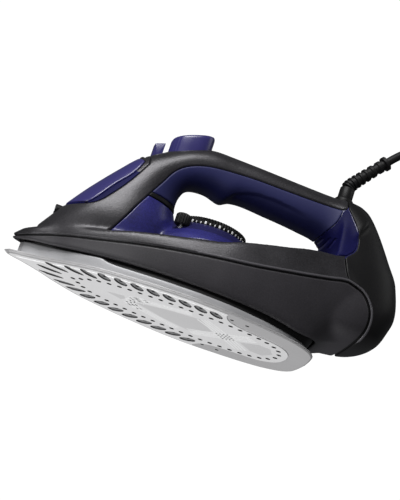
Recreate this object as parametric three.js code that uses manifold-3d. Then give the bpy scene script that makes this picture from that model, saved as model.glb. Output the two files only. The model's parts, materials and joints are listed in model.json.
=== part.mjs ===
// A steam iron, built as it comes apart on a bench. Millimetres. +X is the nose, +Y the left side, +Z up.
// The origin is on the soleplate's face, on its centre line and about midway along the iron.
import * as THREE from 'three';
import { mergeVertices } from 'three/addons/utils/BufferGeometryUtils.js';
import Module from 'manifold-3d';

const wasm = await Module();
wasm.setup();

// ---------------------------------------------------------------- driving dimensions
const WALL = 2.6;                  // casing wall
const GAP = 0.3;                   // clearance between neighbouring pieces
const FAR = 90;                    // half depth of a cutter that runs right through the iron
const SOLE = { nose: 152.4, heel: -94.2, half: 60, thick: 1.8, holeRadius: 1.5 };
// Bottom and top of the flat pieces stacked on the soleplate, and the height that the fittings stand on.
const STACK = { casting: [2.1, 9], gasket: [9.3, 10.1], cover: [10.4, 11.8], skirt: [9.3, 12.7], fittings: 12.8 };
const CHAMBER = { edge: 20, floor: 4.6, wall: 2 };      // the steam chamber, set in from the sole's edge
const HEATER = { radius: 3, channel: 4.2, slot: 4, z: 6.6, slotZ: 9.4 };
const REST = { low: [-147.9, 56], high: [-142.3, 82] };      // the flat face the iron stands up on
const DIAL = { x: 7, radius: 27, bottom: 70, top: 75.6 };
const HINGE = { x: 77.1, z: 105.7, pin: 1.2, barrel: 2.4, knuckle: 4.5, ear: 8.2 };
const KNOB = { x: 35, y: 24, radius: 6, rod: 1.8, bottom: 62.6, top: 71.2 };
const VALVE = { x: 57, radius: 2, bottom: 14, top: 106 };
const BUTTON = { front: 59.6, back: 28, half: 13.5, bottom: 118, frontTop: 133.8, backTop: 146 };
const LEVER = { front: 71.3, back: 63.8, half: 4 };
const PUMP = { x: 51, y: 9.2, radius: 5, bottom: 94, top: 106 };
const NOZZLE = { back: 119.5, front: 127.2, z: 46.2, radius: 3.9 };
const SLEEVE = { x: -84.5, radius: 6, bottom: 137.4, top: 149 };
const CORD = { radius: 3.25, sides: 8 };
const COIL = { x: -308, y: 6, inner: 28, outer: 44, height: 20, chamfer: 3 };
const PLUG = { y: 42, z: 18.5, tail: -262, face: -206, radius: 18.5, pinTip: -187, pinSide: 9.5, pinHalf: 2.4 };
const SCREW = { shank: 2, head: 3.4, bottom: 13, seat: 22, front: 84, back: -66, side: 24 };
const TANK = { outside: 6, inside: 8.4 };               // how deep the tank's wall and its water lie in the casing
const FUSE = { back: -40, front: -26, half: 4, top: 17 };
const TERMINALS = { back: -112, front: -104, half: 14, bottom: 70, top: 84 };
const LAMP = { x: -88, radius: 2.6, bottom: 96, top: 104 };

// ---------------------------------------------------------------- side-view and plan curves, as [x, value]
const SOLE_HALF = [[-94.2, 0], [-93.6, 12], [-91.7, 27], [-83.7, 39.3], [-65.8, 49.6], [-39, 56.2], [-6.5, 60],
  [7, 59.9], [24.5, 58], [40, 55.5], [56, 51.8], [84, 43], [108, 29.5], [121.5, 19.6], [136, 11], [149.5, 4.2],
  [152.4, 0]];
const WIDEST = [[-128, 28], [-118, 35], [-99, 43], [-83, 47.5], [-65, 51], [-38, 54.8], [-5, 56.6], [7, 56],
  [36, 52.8], [63, 46.5], [92, 35], [109, 26.5], [122, 18.5], [137, 11.5], [147, 4.5], [150, 1.6]];
const PARTING = [[-128, 64], [-98, 62.9], [-81, 58], [-57, 51.5], [-18, 42.8], [18.5, 37.2], [63, 30.2],
  [92, 25.7], [121, 21.9], [137, 18], [150, 15.5]];
const UNDERSIDE = [[-128, 27], [-112, 22.5], [-100, 18.5], [-88, 12], [-70, 10], [-55, 11.6], [-30, 13],
  [100, 13.3], [137, 13], [150, 12.5]];
// The flat of the underside as a share of the half width; the rear corners are rounded up.
const FOOT_SHARE = [[-128, 0.4], [-112, 0.5], [-99, 0.6], [-80, 0.9], [-60, 0.96], [150, 0.96]];
const DECK = [[-128, 86], [-93, 83], [-81, 80.8], [-62, 76.3], [-45, 70.5], [-29, 65.6], [-10, 59.4], [7, 53],
  [22, 49.5], [37, 45.9], [59, 41.4], [73, 38.4], [87, 35], [110, 31], [122, 29.5], [137, 24], [145, 20], [150, 17]];
const DECK_LEAN = [[-128, 9], [-81, 8.5], [-45, 7.5], [-10, 5], [22, 3.5], [59, 2], [87, 1.5], [122, 2], [150, 1]];
const COVER_SEAM = [[85.6, 36], [77.8, 51], [71.4, 65], [62.6, 82], [57.6, 91.5], [54, 99], [49.8, 104.9],
  [43.6, 109.9], [34.4, 114.2], [21.3, 117.4], [-5, 120.2], [-27, 120.9], [-54, 121.6], [-81, 122.7]];
const HEEL_SEAM = [[-98, 63], [-110, 60.9], [-118, 54], [-122.5, 45], [-123, 35.3], [-120.5, 26],
  [-116.5, 17.6], [-111.5, 11.3], [-108, 4]];
const DOOR_EDGE = [[121.5, 50.9], [108.5, 56], [101, 65.5], [91.2, 79], [82.7, 90.5], [78.2, 97.5]];
// Each row of the heel: height, rearmost x, half width.
const HEEL = [[19, -98, 16], [22, -119, 28], [26, -132.5, 38], [34, -142, 43], [45, -146, 43.5],
  [56, -148.6, 42], [82, -142.6, 37], [97, -133.1, 32], [115, -121, 25.3], [126, -112.5, 20.5],
  [133, -106, 15], [136.5, -101.5, 9]];
// Each row of the column and handle: outer x, z, inner x, z, half width, roundness of the section.
const HANDLE = [[132, 30, 20, 36, 35, 2], [126, 42, 28, 56, 31, 2], [119, 55, 36, 67, 28, 2],
  [107.9, 71.5, 40, 76, 25, 2], [92, 92.5, 41, 84, 22.6, 2], [78.5, 108.3, 40, 90.5, 21.3, 2.1],
  [63, 119, 37, 97, 20.6, 2.3], [46, 128.4, 31, 100.8, 20.5, 2.5], [28, 134.2, 20, 101.8, 20.5, 2.6],
  [10, 135.2, 8, 98.8, 20.2, 2.6], [0, 135.2, -0.5, 102, 20, 2.6], [-12, 135.2, -12, 103.6, 20, 2.6],
  [-33, 135.1, -32, 103, 20, 2.6], [-56, 135, -55, 101.8, 20.2, 2.6], [-74, 135.2, -73, 99.6, 21, 2.6],
  [-92, 136.4, -80, 92, 25, 2.4], [-108, 128, -86, 80, 31, 2.2]];
// Each row of the mound under the dial: height, half length, half width.
const MOUND = [[36, 46, 48], [50, 46, 48], [58, 39, 41], [66, 32, 32.5], [69.7, 28.7, 28.7]];

// ---------------------------------------------------------------- colours and finishes
const finish = (color, roughness, metalness = 0) => new THREE.MeshStandardMaterial({ color, roughness, metalness });
const FINISH = {
  charcoal: finish(0x3b393c, 0.55),
  gunmetal: finish(0x56565a, 0.4, 0.5),
  navy: finish(0x1c2050, 0.75),
  blue: finish(0x37347a, 0.15),
  black: finish(0x141416, 0.45),
  sole: finish(0xc9c9cb, 0.3, 0.8),
  casting: finish(0xa2a3a6, 0.5, 0.8),
  steel: finish(0xb4b4b8, 0.3, 0.9),
  brass: finish(0xb08d4a, 0.35, 0.9),
  silicone: finish(0xa8472e, 0.8),
  clear: finish(0xd6d8de, 0.1),
  amber: finish(0xe07020, 0.2),
};

// ---------------------------------------------------------------- geometry helpers
// A smooth curve through [x, value] points that doesn't overshoot between them.
function through(points) {
  const slope = points.map((_, i) => {
    if (i === 0 || i === points.length - 1) return 0;
    const before = (points[i][1] - points[i - 1][1]) / (points[i][0] - points[i - 1][0]);
    const after = (points[i + 1][1] - points[i][1]) / (points[i + 1][0] - points[i][0]);
    return before * after <= 0 ? 0 : 2 * before * after / (before + after);
  });
  return (x) => {
    let i = 0;
    while (i < points.length - 2 && x > points[i + 1][0]) i++;
    const [x0, v0] = points[i];
    const [x1, v1] = points[i + 1];
    const t = THREE.MathUtils.clamp((x - x0) / (x1 - x0), 0, 1);
    const rise = (x1 - x0) * (slope[i] * t * (1 - t) ** 2 - slope[i + 1] * t * t * (1 - t));
    return v0 + (v1 - v0) * t * t * (3 - 2 * t) + rise;
  };
}
const soleHalf = through(SOLE_HALF);
const widest = through(WIDEST);
const parting = through(PARTING);
const underside = through(UNDERSIDE);
const footShare = through(FOOT_SHARE);
const deck = through(DECK);
const deckLean = through(DECK_LEAN);

const solid = (geometry) => {
  const bare = geometry.clone();
  bare.deleteAttribute('normal');
  bare.deleteAttribute('uv');
  const merged = mergeVertices(bare, 1e-4);
  const numbers = { vertProperties: merged.attributes.position.array, triVerts: new Uint32Array(merged.index.array) };
  return new wasm.Manifold(new wasm.Mesh({ numProp: 3, ...numbers }));
};

function geometryOf(body) {
  const { vertProperties, triVerts } = body.getMesh();
  const geometry = new THREE.BufferGeometry();
  geometry.setAttribute('position', new THREE.BufferAttribute(new Float32Array(vertProperties), 3));
  geometry.setIndex(new THREE.BufferAttribute(new Uint32Array(triVerts), 1));
  return geometry;
}

// Skins closed rings of equal length and caps both ends.
function loft(rings) {
  const count = rings[0].length;
  const points = rings.flat();
  const faces = [];
  for (let r = 0; r < rings.length - 1; r++) {
    for (let i = 0; i < count; i++) {
      const j = (i + 1) % count;
      const [a, b, c, d] = [r * count + i, r * count + j, (r + 1) * count + j, (r + 1) * count + i];
      faces.push(a, b, c, a, c, d);
    }
  }
  for (const [ring, start, forward] of [[rings[0], 0, false], [rings.at(-1), (rings.length - 1) * count, true]]) {
    const middle = ring.reduce((sum, p) => sum.add(p), new THREE.Vector3()).divideScalar(count);
    points.push(middle);
    for (let i = 0; i < count; i++) {
      const j = (i + 1) % count;
      faces.push(points.length - 1, start + (forward ? i : j), start + (forward ? j : i));
    }
  }
  let volume = 0;
  for (let i = 0; i < faces.length; i += 3) {
    const [a, b, c] = [points[faces[i]], points[faces[i + 1]], points[faces[i + 2]]];
    volume += a.dot(new THREE.Vector3().crossVectors(b, c));
  }
  if (volume < 0) faces.reverse();
  const geometry = new THREE.BufferGeometry().setFromPoints(points);
  geometry.setIndex(faces);
  return solid(geometry);
}

const shapeOf = (points) => new THREE.Shape(points.map(([a, b]) => new THREE.Vector2(a, b)));
const plate = (points, low, high) => solid(
  new THREE.ExtrudeGeometry(shapeOf(points), { depth: high - low, bevelEnabled: false }).translate(0, 0, low));
const throughY = (points, half = FAR) => solid(
  new THREE.ExtrudeGeometry(shapeOf(points), { depth: 2 * half, bevelEnabled: false })
    .translate(0, 0, -half).rotateX(Math.PI / 2));
const post = (x, y, radius, low, high, sides = 12) => solid(
  new THREE.CylinderGeometry(radius, radius, high - low, sides).rotateX(Math.PI / 2).translate(x, y, (low + high) / 2));
const pinAlongY = (x, z, radius, half, sides = 12) => solid(
  new THREE.CylinderGeometry(radius, radius, 2 * half, sides).translate(x, 0, z));
const pinAlongX = (z, radius, from, sides = 8) => solid(
  new THREE.CylinderGeometry(radius, radius, 20, sides).rotateZ(-Math.PI / 2).translate(from + 10, 0, z));
const block = (low, high) => solid(
  new THREE.BoxGeometry(high[0] - low[0], high[1] - low[1], high[2] - low[2])
    .translate((low[0] + high[0]) / 2, (low[1] + high[1]) / 2, (low[2] + high[2]) / 2));
const lathe = (profile, sides = 16) => solid(
  new THREE.LatheGeometry(profile.map(([r, z]) => new THREE.Vector2(r, z)), sides).rotateX(Math.PI / 2));

// A round tube of a given radius along points joined by a smooth curve.
function tube(points, radius, steps, sides = CORD.sides) {
  const path = new THREE.CatmullRomCurve3(points.map((p) => new THREE.Vector3(...p)), false, 'centripetal');
  const section = new THREE.Shape();
  for (let i = 0; i < sides; i++) {
    const angle = (i / sides) * 2 * Math.PI;
    section[i ? 'lineTo' : 'moveTo'](radius * Math.cos(angle), radius * Math.sin(angle));
  }
  return solid(new THREE.ExtrudeGeometry(section, { steps, extrudePath: path, bevelEnabled: false }));
}

// Moves every edge of a closed outline inwards (or outwards, when negative) by a distance.
function inset(points, distance) {
  const turn = THREE.ShapeUtils.area(points.map(([a, b]) => new THREE.Vector2(a, b))) > 0 ? 1 : -1;
  const edgeNormal = (a, b) => {
    const length = Math.hypot(b[0] - a[0], b[1] - a[1]);
    return [-turn * (b[1] - a[1]) / length, turn * (b[0] - a[0]) / length];
  };
  return points.map((p, i) => {
    const before = edgeNormal(points.at(i - 1), p);
    const after = edgeNormal(p, points[(i + 1) % points.length]);
    const spread = Math.max(1 + before[0] * after[0] + before[1] * after[1], 0.35);
    return [p[0] + distance * (before[0] + after[0]) / spread, p[1] + distance * (before[1] + after[1]) / spread];
  });
}

// ---------------------------------------------------------------- the envelope that the casings are cut from
const mirrored = (half) => [...half, ...half.slice(1, -1).reverse().map(([y, z]) => [-y, z])];

function hull(skin) {
  const stations = [150 - skin, 146, 137, 122, 106, 87, 64, 36, 7, -26, -55, -81, -98, -112, -126 + skin];
  return loft(stations.map((x) => {
    const half = Math.max(widest(x) - skin, 0.4);
    const low = underside(x) + skin;
    const high = Math.max(deck(x) - skin, low + 0.6);
    const middle = Math.min(Math.max(parting(x), low + 0.2), high - 0.2);
    const edge = Math.max(half - deckLean(x), 0.3);
    const foot = footShare(x);
    const bilge = [half * (foot + (1 - foot) * 0.7), low + (middle - low) * 0.3];
    const section = [[0, low], [half * foot, low], bilge, [half, middle], [edge, high], [0, high - 0.15]];
    return mirrored(section).map(([y, z]) => new THREE.Vector3(x, y, z));
  }));
}

function heel(skin) {
  return loft(HEEL.map(([height, back, half], row) => {
    const z = height + (row === 0 ? skin : 0) - (row === HEEL.length - 1 ? skin : 0);
    const front = -84 - skin;
    const depth = front - (back + skin);
    const side = Math.max(half - skin, 1);
    const ring = [];
    for (let i = 0; i <= 10; i++) {
      const angle = (i / 10 - 0.5) * Math.PI;
      const round = (v) => Math.sign(v) * Math.abs(v) ** (2 / 2.7);
      ring.push(new THREE.Vector3(front - depth * round(Math.cos(angle)), side * round(Math.sin(angle)), z));
    }
    return ring;
  }));
}

function arch(skin) {
  const sides = 14;
  return loft(HANDLE.map(([ox, oz, ix, iz, half, roundness]) => {
    const middle = [(ox + ix) / 2, (oz + iz) / 2];
    const reach = Math.hypot(ox - ix, oz - iz) / 2;
    const along = [(ox - ix) / 2 / reach, (oz - iz) / 2 / reach];
    const ring = [];
    for (let i = 0; i < sides; i++) {
      const angle = (i / sides) * 2 * Math.PI;
      const round = (v) => Math.sign(v) * Math.abs(v) ** (2 / roundness);
      const a = (reach - skin) * round(Math.cos(angle));
      const y = (half - skin) * round(Math.sin(angle));
      ring.push(new THREE.Vector3(middle[0] + along[0] * a, y, middle[1] + along[1] * a));
    }
    return ring;
  }));
}

const mound = (skin) => loft(MOUND.map(([height, long, wide], row) => {
  const top = row === MOUND.length - 1 ? skin : 0;
  const ring = [];
  for (let i = 0; i < 20; i++) {
    const angle = (i / 20) * 2 * Math.PI;
    const [a, b] = [(long - skin) * Math.cos(angle), (wide - skin) * Math.sin(angle)];
    ring.push(new THREE.Vector3(DIAL.x + a, b, height - top));
  }
  return ring;
}));

const envelope = (skin) => hull(skin).add(heel(skin)).add(arch(skin)).add(mound(skin));

// Everything behind the plane that the iron stands on when it is stood up on its heel.
function behindRest() {
  const run = [REST.high[0] - REST.low[0], REST.high[1] - REST.low[1]];
  const bottom = [REST.low[0] - 2 * run[0], REST.low[1] - 2 * run[1]];
  const top = [REST.high[0] + 2 * run[0], REST.high[1] + 2 * run[1]];
  return throughY([bottom, top, [-190, top[1]], [-190, bottom[1]]]);
}

const outer = envelope(0).subtract(behindRest());
const inner = envelope(WALL);
const skinOnly = outer.subtract(inner);

// ---------------------------------------------------------------- side-view regions of the casings
const sample = (curve, from, to, steps) => {
  const points = [];
  for (let i = 0; i <= steps; i++) {
    const x = from + (to - from) * i / steps;
    points.push([x, curve(x)]);
  }
  return points;
};
const partingLine = sample(parting, 153, -98, 14);
const deckFront = sample(deck, -26, 87, 7);
const tankTop = [[41.5, 74.8], [36, 73.5], [34, 73], [-26, 73]];
const rearFront = [[-82, 123.2], [-79.4, 111.6], [-74.5, 102.6], [-70, 95]];
const rearBack = [[-91.5, 84], [-97, 91], [-98.2, 97.5], [-97, 105], [-92, 114.5], [-84.8, 125.5]];
const bezelEdge = inset([...DOOR_EDGE, [77.2, 112], [125, 112]], -3.4).slice(0, DOOR_EDGE.length);
const handleTop = COVER_SEAM.slice(3);

const REGION = {
  lower: [...partingLine, ...HEEL_SEAM.slice(1), [153, 4]],
  tank: [...deckFront, ...COVER_SEAM.slice(1, 3), [65.9, 75.6], ...tankTop],
  collar: [[65.9, 75.6], [41.5, 74.8], [38, 76], [36, 79], [64.1, 79.2]],
  grip: [[64.1, 79.2], ...handleTop, ...rearFront.slice(1), [-60, 92], [20, 90], [36, 79]],
  rear: [...rearFront, [-70, 79.4], [-81, 81], ...rearBack],
  heel: [...rearBack.slice().reverse(), [-90.5, 82], [-94, 71], ...HEEL_SEAM, [-162, 4], [-162, 150], [-84.8, 150]],
  door: [...DOOR_EDGE, [76, 103.4], [84, 111.5], [95, 120], [130, 60]],
  bezel: [...bezelEdge, [72.9, 101], [72.9, 120], [90, 124], [134, 60]],
};
REGION.upper = [...partingLine, [-94, 71], [-90.5, 82], [-91.5, 84], [-81, 81], [-70, 79.4], [-66, 90], [-27, 90],
  ...deckFront, ...COVER_SEAM.slice(1), [-84.8, 125.5], [-84.8, 150], [100, 150], [160, 70]];

const region = (name, shrink = GAP / 2) => throughY(inset(REGION[name], shrink));
const pieceOf = (name) => skinOnly.intersect(region(name));

// ---------------------------------------------------------------- soleplate and heater
// A plan outline shaped like the sole, drawn in by a distance at its sides and heel and by more at its sharp nose.
function soleOutline(distance, halfWidth = soleHalf) {
  const nose = SOLE.nose - 2.4 * distance;
  const back = SOLE.heel + distance;
  const narrowing = 1 - distance / SOLE.half;
  const side = [];
  for (let i = 0; i <= 16; i++) {
    const share = (1 - Math.cos((i / 16) * Math.PI)) / 2;
    const half = halfWidth(SOLE.heel + (SOLE.nose - SOLE.heel) * share);
    side.push([back + (nose - back) * share, half * narrowing]);
  }
  return [...side, ...side.slice(1, -1).reverse().map(([x, y]) => [x, -y])];
}

// The opening under the casing, which follows the sole but stays inside the casing's foot.
const footHalf = (x) => Math.max(Math.min(soleHalf(x), footShare(x) * widest(x) - 1.8), 0.5);
const footOutline = (distance) => soleOutline(distance, footHalf);

// Steam holes run round the face in a leaf-shaped loop of evenly spaced mirrored pairs.
const HOLE_HALF = through([[-72, 0], [-70.5, 9], [-66, 17], [-58, 23.5], [-42, 29], [-10, 32.2], [30, 30],
  [58, 25], [79, 17.5], [89, 9], [96.4, 0]]);
function steamHoles() {
  const spots = [];
  let last = null;
  for (let x = 96.4; x >= -72; x -= 0.25) {
    const y = HOLE_HALF(x);
    if (last && Math.hypot(x - last[0], y - last[1]) < 8) continue;
    last = [x, y];
    if (y > 2) spots.push([x, y], [x, -y]);
    else spots.push([x, 0]);
  }
  return spots;
}

function soleplate() {
  let body = plate(soleOutline(0), 0, SOLE.thick);
  for (const [x, y] of steamHoles()) body = body.subtract(post(x, y, SOLE.holeRadius, -1, SOLE.thick + 1, 4));
  return body;
}

// The heater's U in plan: up one side, round the nose and back down the other.
const HEATER_PATH = [[-80, -22], [-55, -36], [-5, -44], [50, -36], [92, -18], [108, 0], [92, 18], [50, 36],
  [-5, 44], [-55, 36], [-80, 22]];
const heaterTube = (path, z, radius, sides) => tube(path.map(([x, y]) => [x, y, z]), radius, 26, sides);

function soleCasting() {
  const [bottom, top] = STACK.casting;
  const chamber = plate(soleOutline(CHAMBER.edge + CHAMBER.wall), CHAMBER.floor, top + 1);
  const throughHeel = [[-96, -16], ...HEATER_PATH, [-96, 16]];
  return plate(soleOutline(5), bottom, top)
    .subtract(chamber)
    .subtract(heaterTube(throughHeel, HEATER.z, HEATER.channel, 6))
    .subtract(heaterTube(throughHeel, HEATER.slotZ, HEATER.slot, 6));
}

const heatingElement = () => heaterTube(HEATER_PATH, HEATER.z, HEATER.radius, 8);
const ring = (outside, hole, [low, high]) => plate(outside, low, high).subtract(plate(hole, low - 1, high + 1));
const chamberGasket = () => ring(soleOutline(CHAMBER.edge), soleOutline(CHAMBER.edge + 3), STACK.gasket);
const chamberCover = () => plate(soleOutline(CHAMBER.edge), ...STACK.cover)
  .subtract(post(VALVE.x, 0, VALVE.radius + 1, 9, 14))
  .subtract(post(KNOB.x, KNOB.y, KNOB.rod + 0.6, 9, 14));
const heatSkirt = () => ring(footOutline(3), footOutline(8), STACK.skirt);

// ---------------------------------------------------------------- casings
const lowerShell = () => pieceOf('lower').subtract(plate(footOutline(2.5), 0, 19));

function buttonOutline(margin = 0) {
  const middle = (BUTTON.front + BUTTON.back) / 2;
  const reach = (BUTTON.front - BUTTON.back) / 2 + margin;
  const points = [];
  for (let i = 0; i < 24; i++) {
    const angle = (i / 24) * 2 * Math.PI;
    const round = (v) => Math.sign(v) * Math.abs(v) ** (2 / 2.5);
    points.push([middle + reach * round(Math.cos(angle)), (BUTTON.half + margin) * round(Math.sin(angle))]);
  }
  return points;
}

function upperShell() {
  const leverSlot = block([LEVER.back - 1.4, -9, 100], [LEVER.front + 1.8, 9, 140]);
  return pieceOf('upper')
    .subtract(region('bezel', -GAP / 2))
    .subtract(hingeBarrel(HINGE.barrel + GAP + 0.2, HINGE.ear + GAP))
    .subtract(plate(buttonOutline(0.5), 112, 150))
    .subtract(leverSlot)
    .subtract(sleeveHole())
    .subtract(nozzleBore());
}

const sleeveHole = () => post(SLEEVE.x, 0, SLEEVE.radius + 2.4, 120, 150);
const nozzleBore = () => solid(new THREE.CylinderGeometry(NOZZLE.radius + GAP, NOZZLE.radius + GAP, 30, 12)
  .rotateZ(-Math.PI / 2)).translate([NOZZLE.back + 15, 0, NOZZLE.z]);

const fillerMouth = () => block([88, -7, 20], [104, 7, 130]);

function waterTank() {
  const bodySide = [[100, 32], [-20, 44], [-20, 68], [38, 68], [42, 73], [73, 73], [84, 84], [110, 60]];
  const window = outer.subtract(envelope(TANK.outside + 0.4)).intersect(region('tank'));
  const shell = envelope(TANK.outside).intersect(throughY(bodySide)).add(window);
  const rods = [[DIAL.x, 0, 4], [VALVE.x, 0, 3], [KNOB.x, KNOB.y, 3]];
  let water = envelope(TANK.inside).intersect(throughY(inset(bodySide, TANK.inside - TANK.outside)));
  for (const [x, y, radius] of rods) water = water.subtract(post(x, y, radius + 1.6, 0, 130));
  const knobSeat = post(KNOB.x, KNOB.y, KNOB.radius + 0.5, KNOB.bottom - GAP, 90);
  const inlet = fillerMouth().intersect(block([80, -20, 50], [120, 20, 130]));
  let body = shell.subtract(knobSeat).subtract(water).subtract(inlet);
  for (const [x, y, radius] of rods) body = body.subtract(post(x, y, radius, 0, 130));
  return body;
}

const hingeBarrel = (radius, half) => pinAlongY(HINGE.x, HINGE.z, radius, half, 12);
const hingeFoot = () => throughY([[HINGE.x - 1.6, HINGE.z + 1.6], [HINGE.x + 1.8, HINGE.z - 1.5], [76, 99.5],
  [73.4, 103]], HINGE.ear);

// The frame under the filler door, with the ears that hold the hinge pin.
function fillerBezel() {
  const frame = outer.subtract(envelope(5.4)).intersect(region('bezel'));
  const seat = outer.subtract(envelope(3)).intersect(region('door', -GAP));
  const ears = hingeBarrel(HINGE.barrel, HINGE.ear).add(hingeFoot().intersect(envelope(3)));
  return frame.subtract(seat)
    .subtract(fillerMouth())
    .add(ears)
    .subtract(hingeBarrel(4, HINGE.knuckle + GAP))
    .subtract(hingeBarrel(HINGE.pin + GAP, FAR))
    .subtract(nozzleBore());
}

// The lid over the filler mouth. It lifts at the front and turns on a barrel hinge at its upper end.
function fillerDoor() {
  const lid = outer.subtract(envelope(2.6)).intersect(region('door', GAP / 2));
  const earRoom = hingeBarrel(HINGE.barrel + GAP, HINGE.ear + GAP);
  const web = throughY([[HINGE.x, HINGE.z + 1.8], [HINGE.x + 1.4, HINGE.z - 1.6], [83, 99], [85.5, 99.5]],
    HINGE.knuckle).intersect(outer);
  return lid.subtract(earRoom)
    .add(hingeBarrel(HINGE.barrel, HINGE.knuckle))
    .add(web)
    .subtract(hingeBarrel(HINGE.pin + GAP, FAR));
}

const heelCover = () => pieceOf('heel').subtract(sleeveHole());

// ---------------------------------------------------------------- controls
function sprayNozzle() {
  const length = NOZZLE.front - NOZZLE.back;
  const body = new THREE.CylinderGeometry(NOZZLE.radius - 0.8, NOZZLE.radius, length, 16).rotateZ(-Math.PI / 2);
  return solid(body).translate([(NOZZLE.front + NOZZLE.back) / 2, 0, NOZZLE.z])
    .subtract(pinAlongX(NOZZLE.z, 0.8, NOZZLE.front - 3));
}

// One half of the oval button pair: side +1 is the left half and -1 the right.
function button(side) {
  const half = block([0, side > 0 ? 0.3 : -40, 90], [90, side > 0 ? 40 : -0.3, 170]);
  const slope = (BUTTON.backTop - BUTTON.frontTop) / (BUTTON.front - BUTTON.back);
  const line = (x) => BUTTON.frontTop + (BUTTON.front - x) * slope;
  const sideView = [[BUTTON.front + 2, BUTTON.bottom], [BUTTON.front + 2, line(BUTTON.front + 2)],
    [BUTTON.back - 2, line(BUTTON.back - 2)], [BUTTON.back - 2, BUTTON.bottom]];
  const stem = post(PUMP.x, side * PUMP.y, 2, PUMP.top - 3, BUTTON.bottom + 1, 10);
  return plate(buttonOutline(), 100, 160).intersect(throughY(sideView)).intersect(half).add(stem);
}

const pump = (side) => post(PUMP.x, side * PUMP.y, PUMP.radius, PUMP.bottom, PUMP.top)
  .subtract(post(PUMP.x, side * PUMP.y, 2.4, PUMP.top - 9, PUMP.top + 1, 10));

function spring(side) {
  const [low, high, turns] = [PUMP.top + 1, BUTTON.bottom - 1, 3];
  const points = [];
  for (let i = 0; i <= turns * 10; i++) {
    const angle = (i / 10) * 2 * Math.PI;
    const z = low + (high - low) * i / (turns * 10);
    points.push([PUMP.x + 3.6 * Math.cos(angle), side * PUMP.y + 3.6 * Math.sin(angle), z]);
  }
  return tube(points, 0.5, turns * 9, 4);
}

function steamLever() {
  const tab = throughY([[LEVER.back, 103], [LEVER.back, 127], [LEVER.front, 123.6], [LEVER.front, 103]], LEVER.half);
  const arm = block([VALVE.x - 3, -3, 102], [LEVER.back + 1, 3, 105]);
  const boss = post(VALVE.x, 0, 3.6, 101, VALVE.top + 1);
  return tab.add(arm).add(boss).subtract(post(VALVE.x, 0, VALVE.radius + GAP, 99, VALVE.top + GAP));
}

const dialCap = () => lathe([[0, DIAL.top - 1.2], [DIAL.radius - 4, DIAL.top - 1.2], [DIAL.radius - 3, DIAL.top],
  [DIAL.radius, DIAL.top], [DIAL.radius, DIAL.bottom + 1.6], [DIAL.radius - 1.6, DIAL.bottom],
  [0, DIAL.bottom]].reverse(), 24).translate([DIAL.x, 0, 0]);

function thermostat() {
  const base = block([DIAL.x - 13, -9, STACK.fittings], [DIAL.x + 13, 9, 16]);
  const body = block([DIAL.x - 9, -6, 15], [DIAL.x + 9, 6, 21]);
  return base.add(body).subtract(post(DIAL.x, 0, 2.8, 17, 24));
}

// ---------------------------------------------------------------- cord set
const GUARD_PATH = [[-84.5, 0, 149.4], [-86.2, 0, 153.2], [-91.4, 0, 160.2], [-98.6, 0, 169.4], [-108.2, 0, 181.4]];
// The route of the free cord, from the end of the guard down to the coil lying behind the iron.
const CORD_ROUTE = [[-108.4, 0, 181.7], [-113, 0, 187.4], [-120, 0, 194.4], [-129.5, 0, 200.3], [-141, 0, 203.2],
  [-153, 0, 201.8], [-164, 0, 196], [-173.5, 0, 186.2], [-181.5, 0, 173.4], [-188.4, -0.4, 158.4],
  [-194.6, -1, 142], [-200.6, -2, 125], [-206.6, -3.2, 108], [-213, -4.8, 91], [-220, -7, 74.4],
  [-228, -10, 58.2], [-237, -14, 43], [-247, -19, 29.2], [-258, -25, 17.8], [-270, -31.4, 9.4],
  [-283, -37, 4.6], [-296, -40.6, 3.4], [-308, -41.4, 3.3]];

function cordGuard() {
  const path = new THREE.CatmullRomCurve3(GUARD_PATH.map((p) => new THREE.Vector3(...p)), false, 'centripetal');
  const rings = [];
  const ribs = 6;
  for (let i = 0; i <= ribs * 4; i++) {
    const t = i / (ribs * 4);
    const rib = i % 4 < 2 ? 0 : -1;
    const end = t > 0.93 ? 1.2 : 0;
    const radius = 5.9 - 1.0 * t + rib + end;
    const centre = path.getPointAt(t);
    const tangent = i ? path.getTangentAt(t) : new THREE.Vector3(0, 0, 1);
    const side = new THREE.Vector3(tangent.z, 0, -tangent.x);
    const ring = [];
    for (let k = 0; k < 10; k++) {
      const angle = (k / 10) * 2 * Math.PI;
      ring.push(centre.clone().addScaledVector(side, radius * Math.cos(angle))
        .add(new THREE.Vector3(0, radius * Math.sin(angle), 0)));
    }
    rings.push(ring);
  }
  return loft(rings);
}

function cordSleeve() {
  return lathe([[0, SLEEVE.bottom - 8], [7.6, SLEEVE.bottom - 8], [7.6, SLEEVE.bottom - 0.4],
    [SLEEVE.radius + 1.4, SLEEVE.bottom + 1.2], [SLEEVE.radius, SLEEVE.bottom + 2.6], [SLEEVE.radius, SLEEVE.top],
    [0, SLEEVE.top]], 14).translate([SLEEVE.x, 0, 0]);
}

function coil() {
  const { inner, outer: outside, height, chamfer } = COIL;
  return lathe([[inner, chamfer], [inner + chamfer, 0], [outside - chamfer, 0], [outside, chamfer],
    [outside, height - chamfer], [outside - chamfer, height], [inner + chamfer, height], [inner, height - chamfer],
    [inner, chamfer]], 20).translate([COIL.x, COIL.y, 0]);
}

function coilTie() {
  const [inside, outside] = [COIL.inner - 1.1, COIL.outer + GAP];
  const hoop = block([-outside - 1.2, -4, 0.2], [-inside + 1.2, 4, COIL.height + GAP + 1.2]);
  return hoop.subtract(block([-outside, -6, -1], [-inside, 6, COIL.height + GAP])).translate([COIL.x, COIL.y, 0]);
}

function plugBody() {
  const profile = [[0, 0], [5, 0], [8, 20], [13, 22], [PLUG.radius, 30], [PLUG.radius, 56], [0, 56]];
  return solid(new THREE.LatheGeometry(profile.map(([r, z]) => new THREE.Vector2(r, z)), 16).rotateZ(-Math.PI / 2))
    .translate([PLUG.tail, PLUG.y, PLUG.z]);
}

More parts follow.
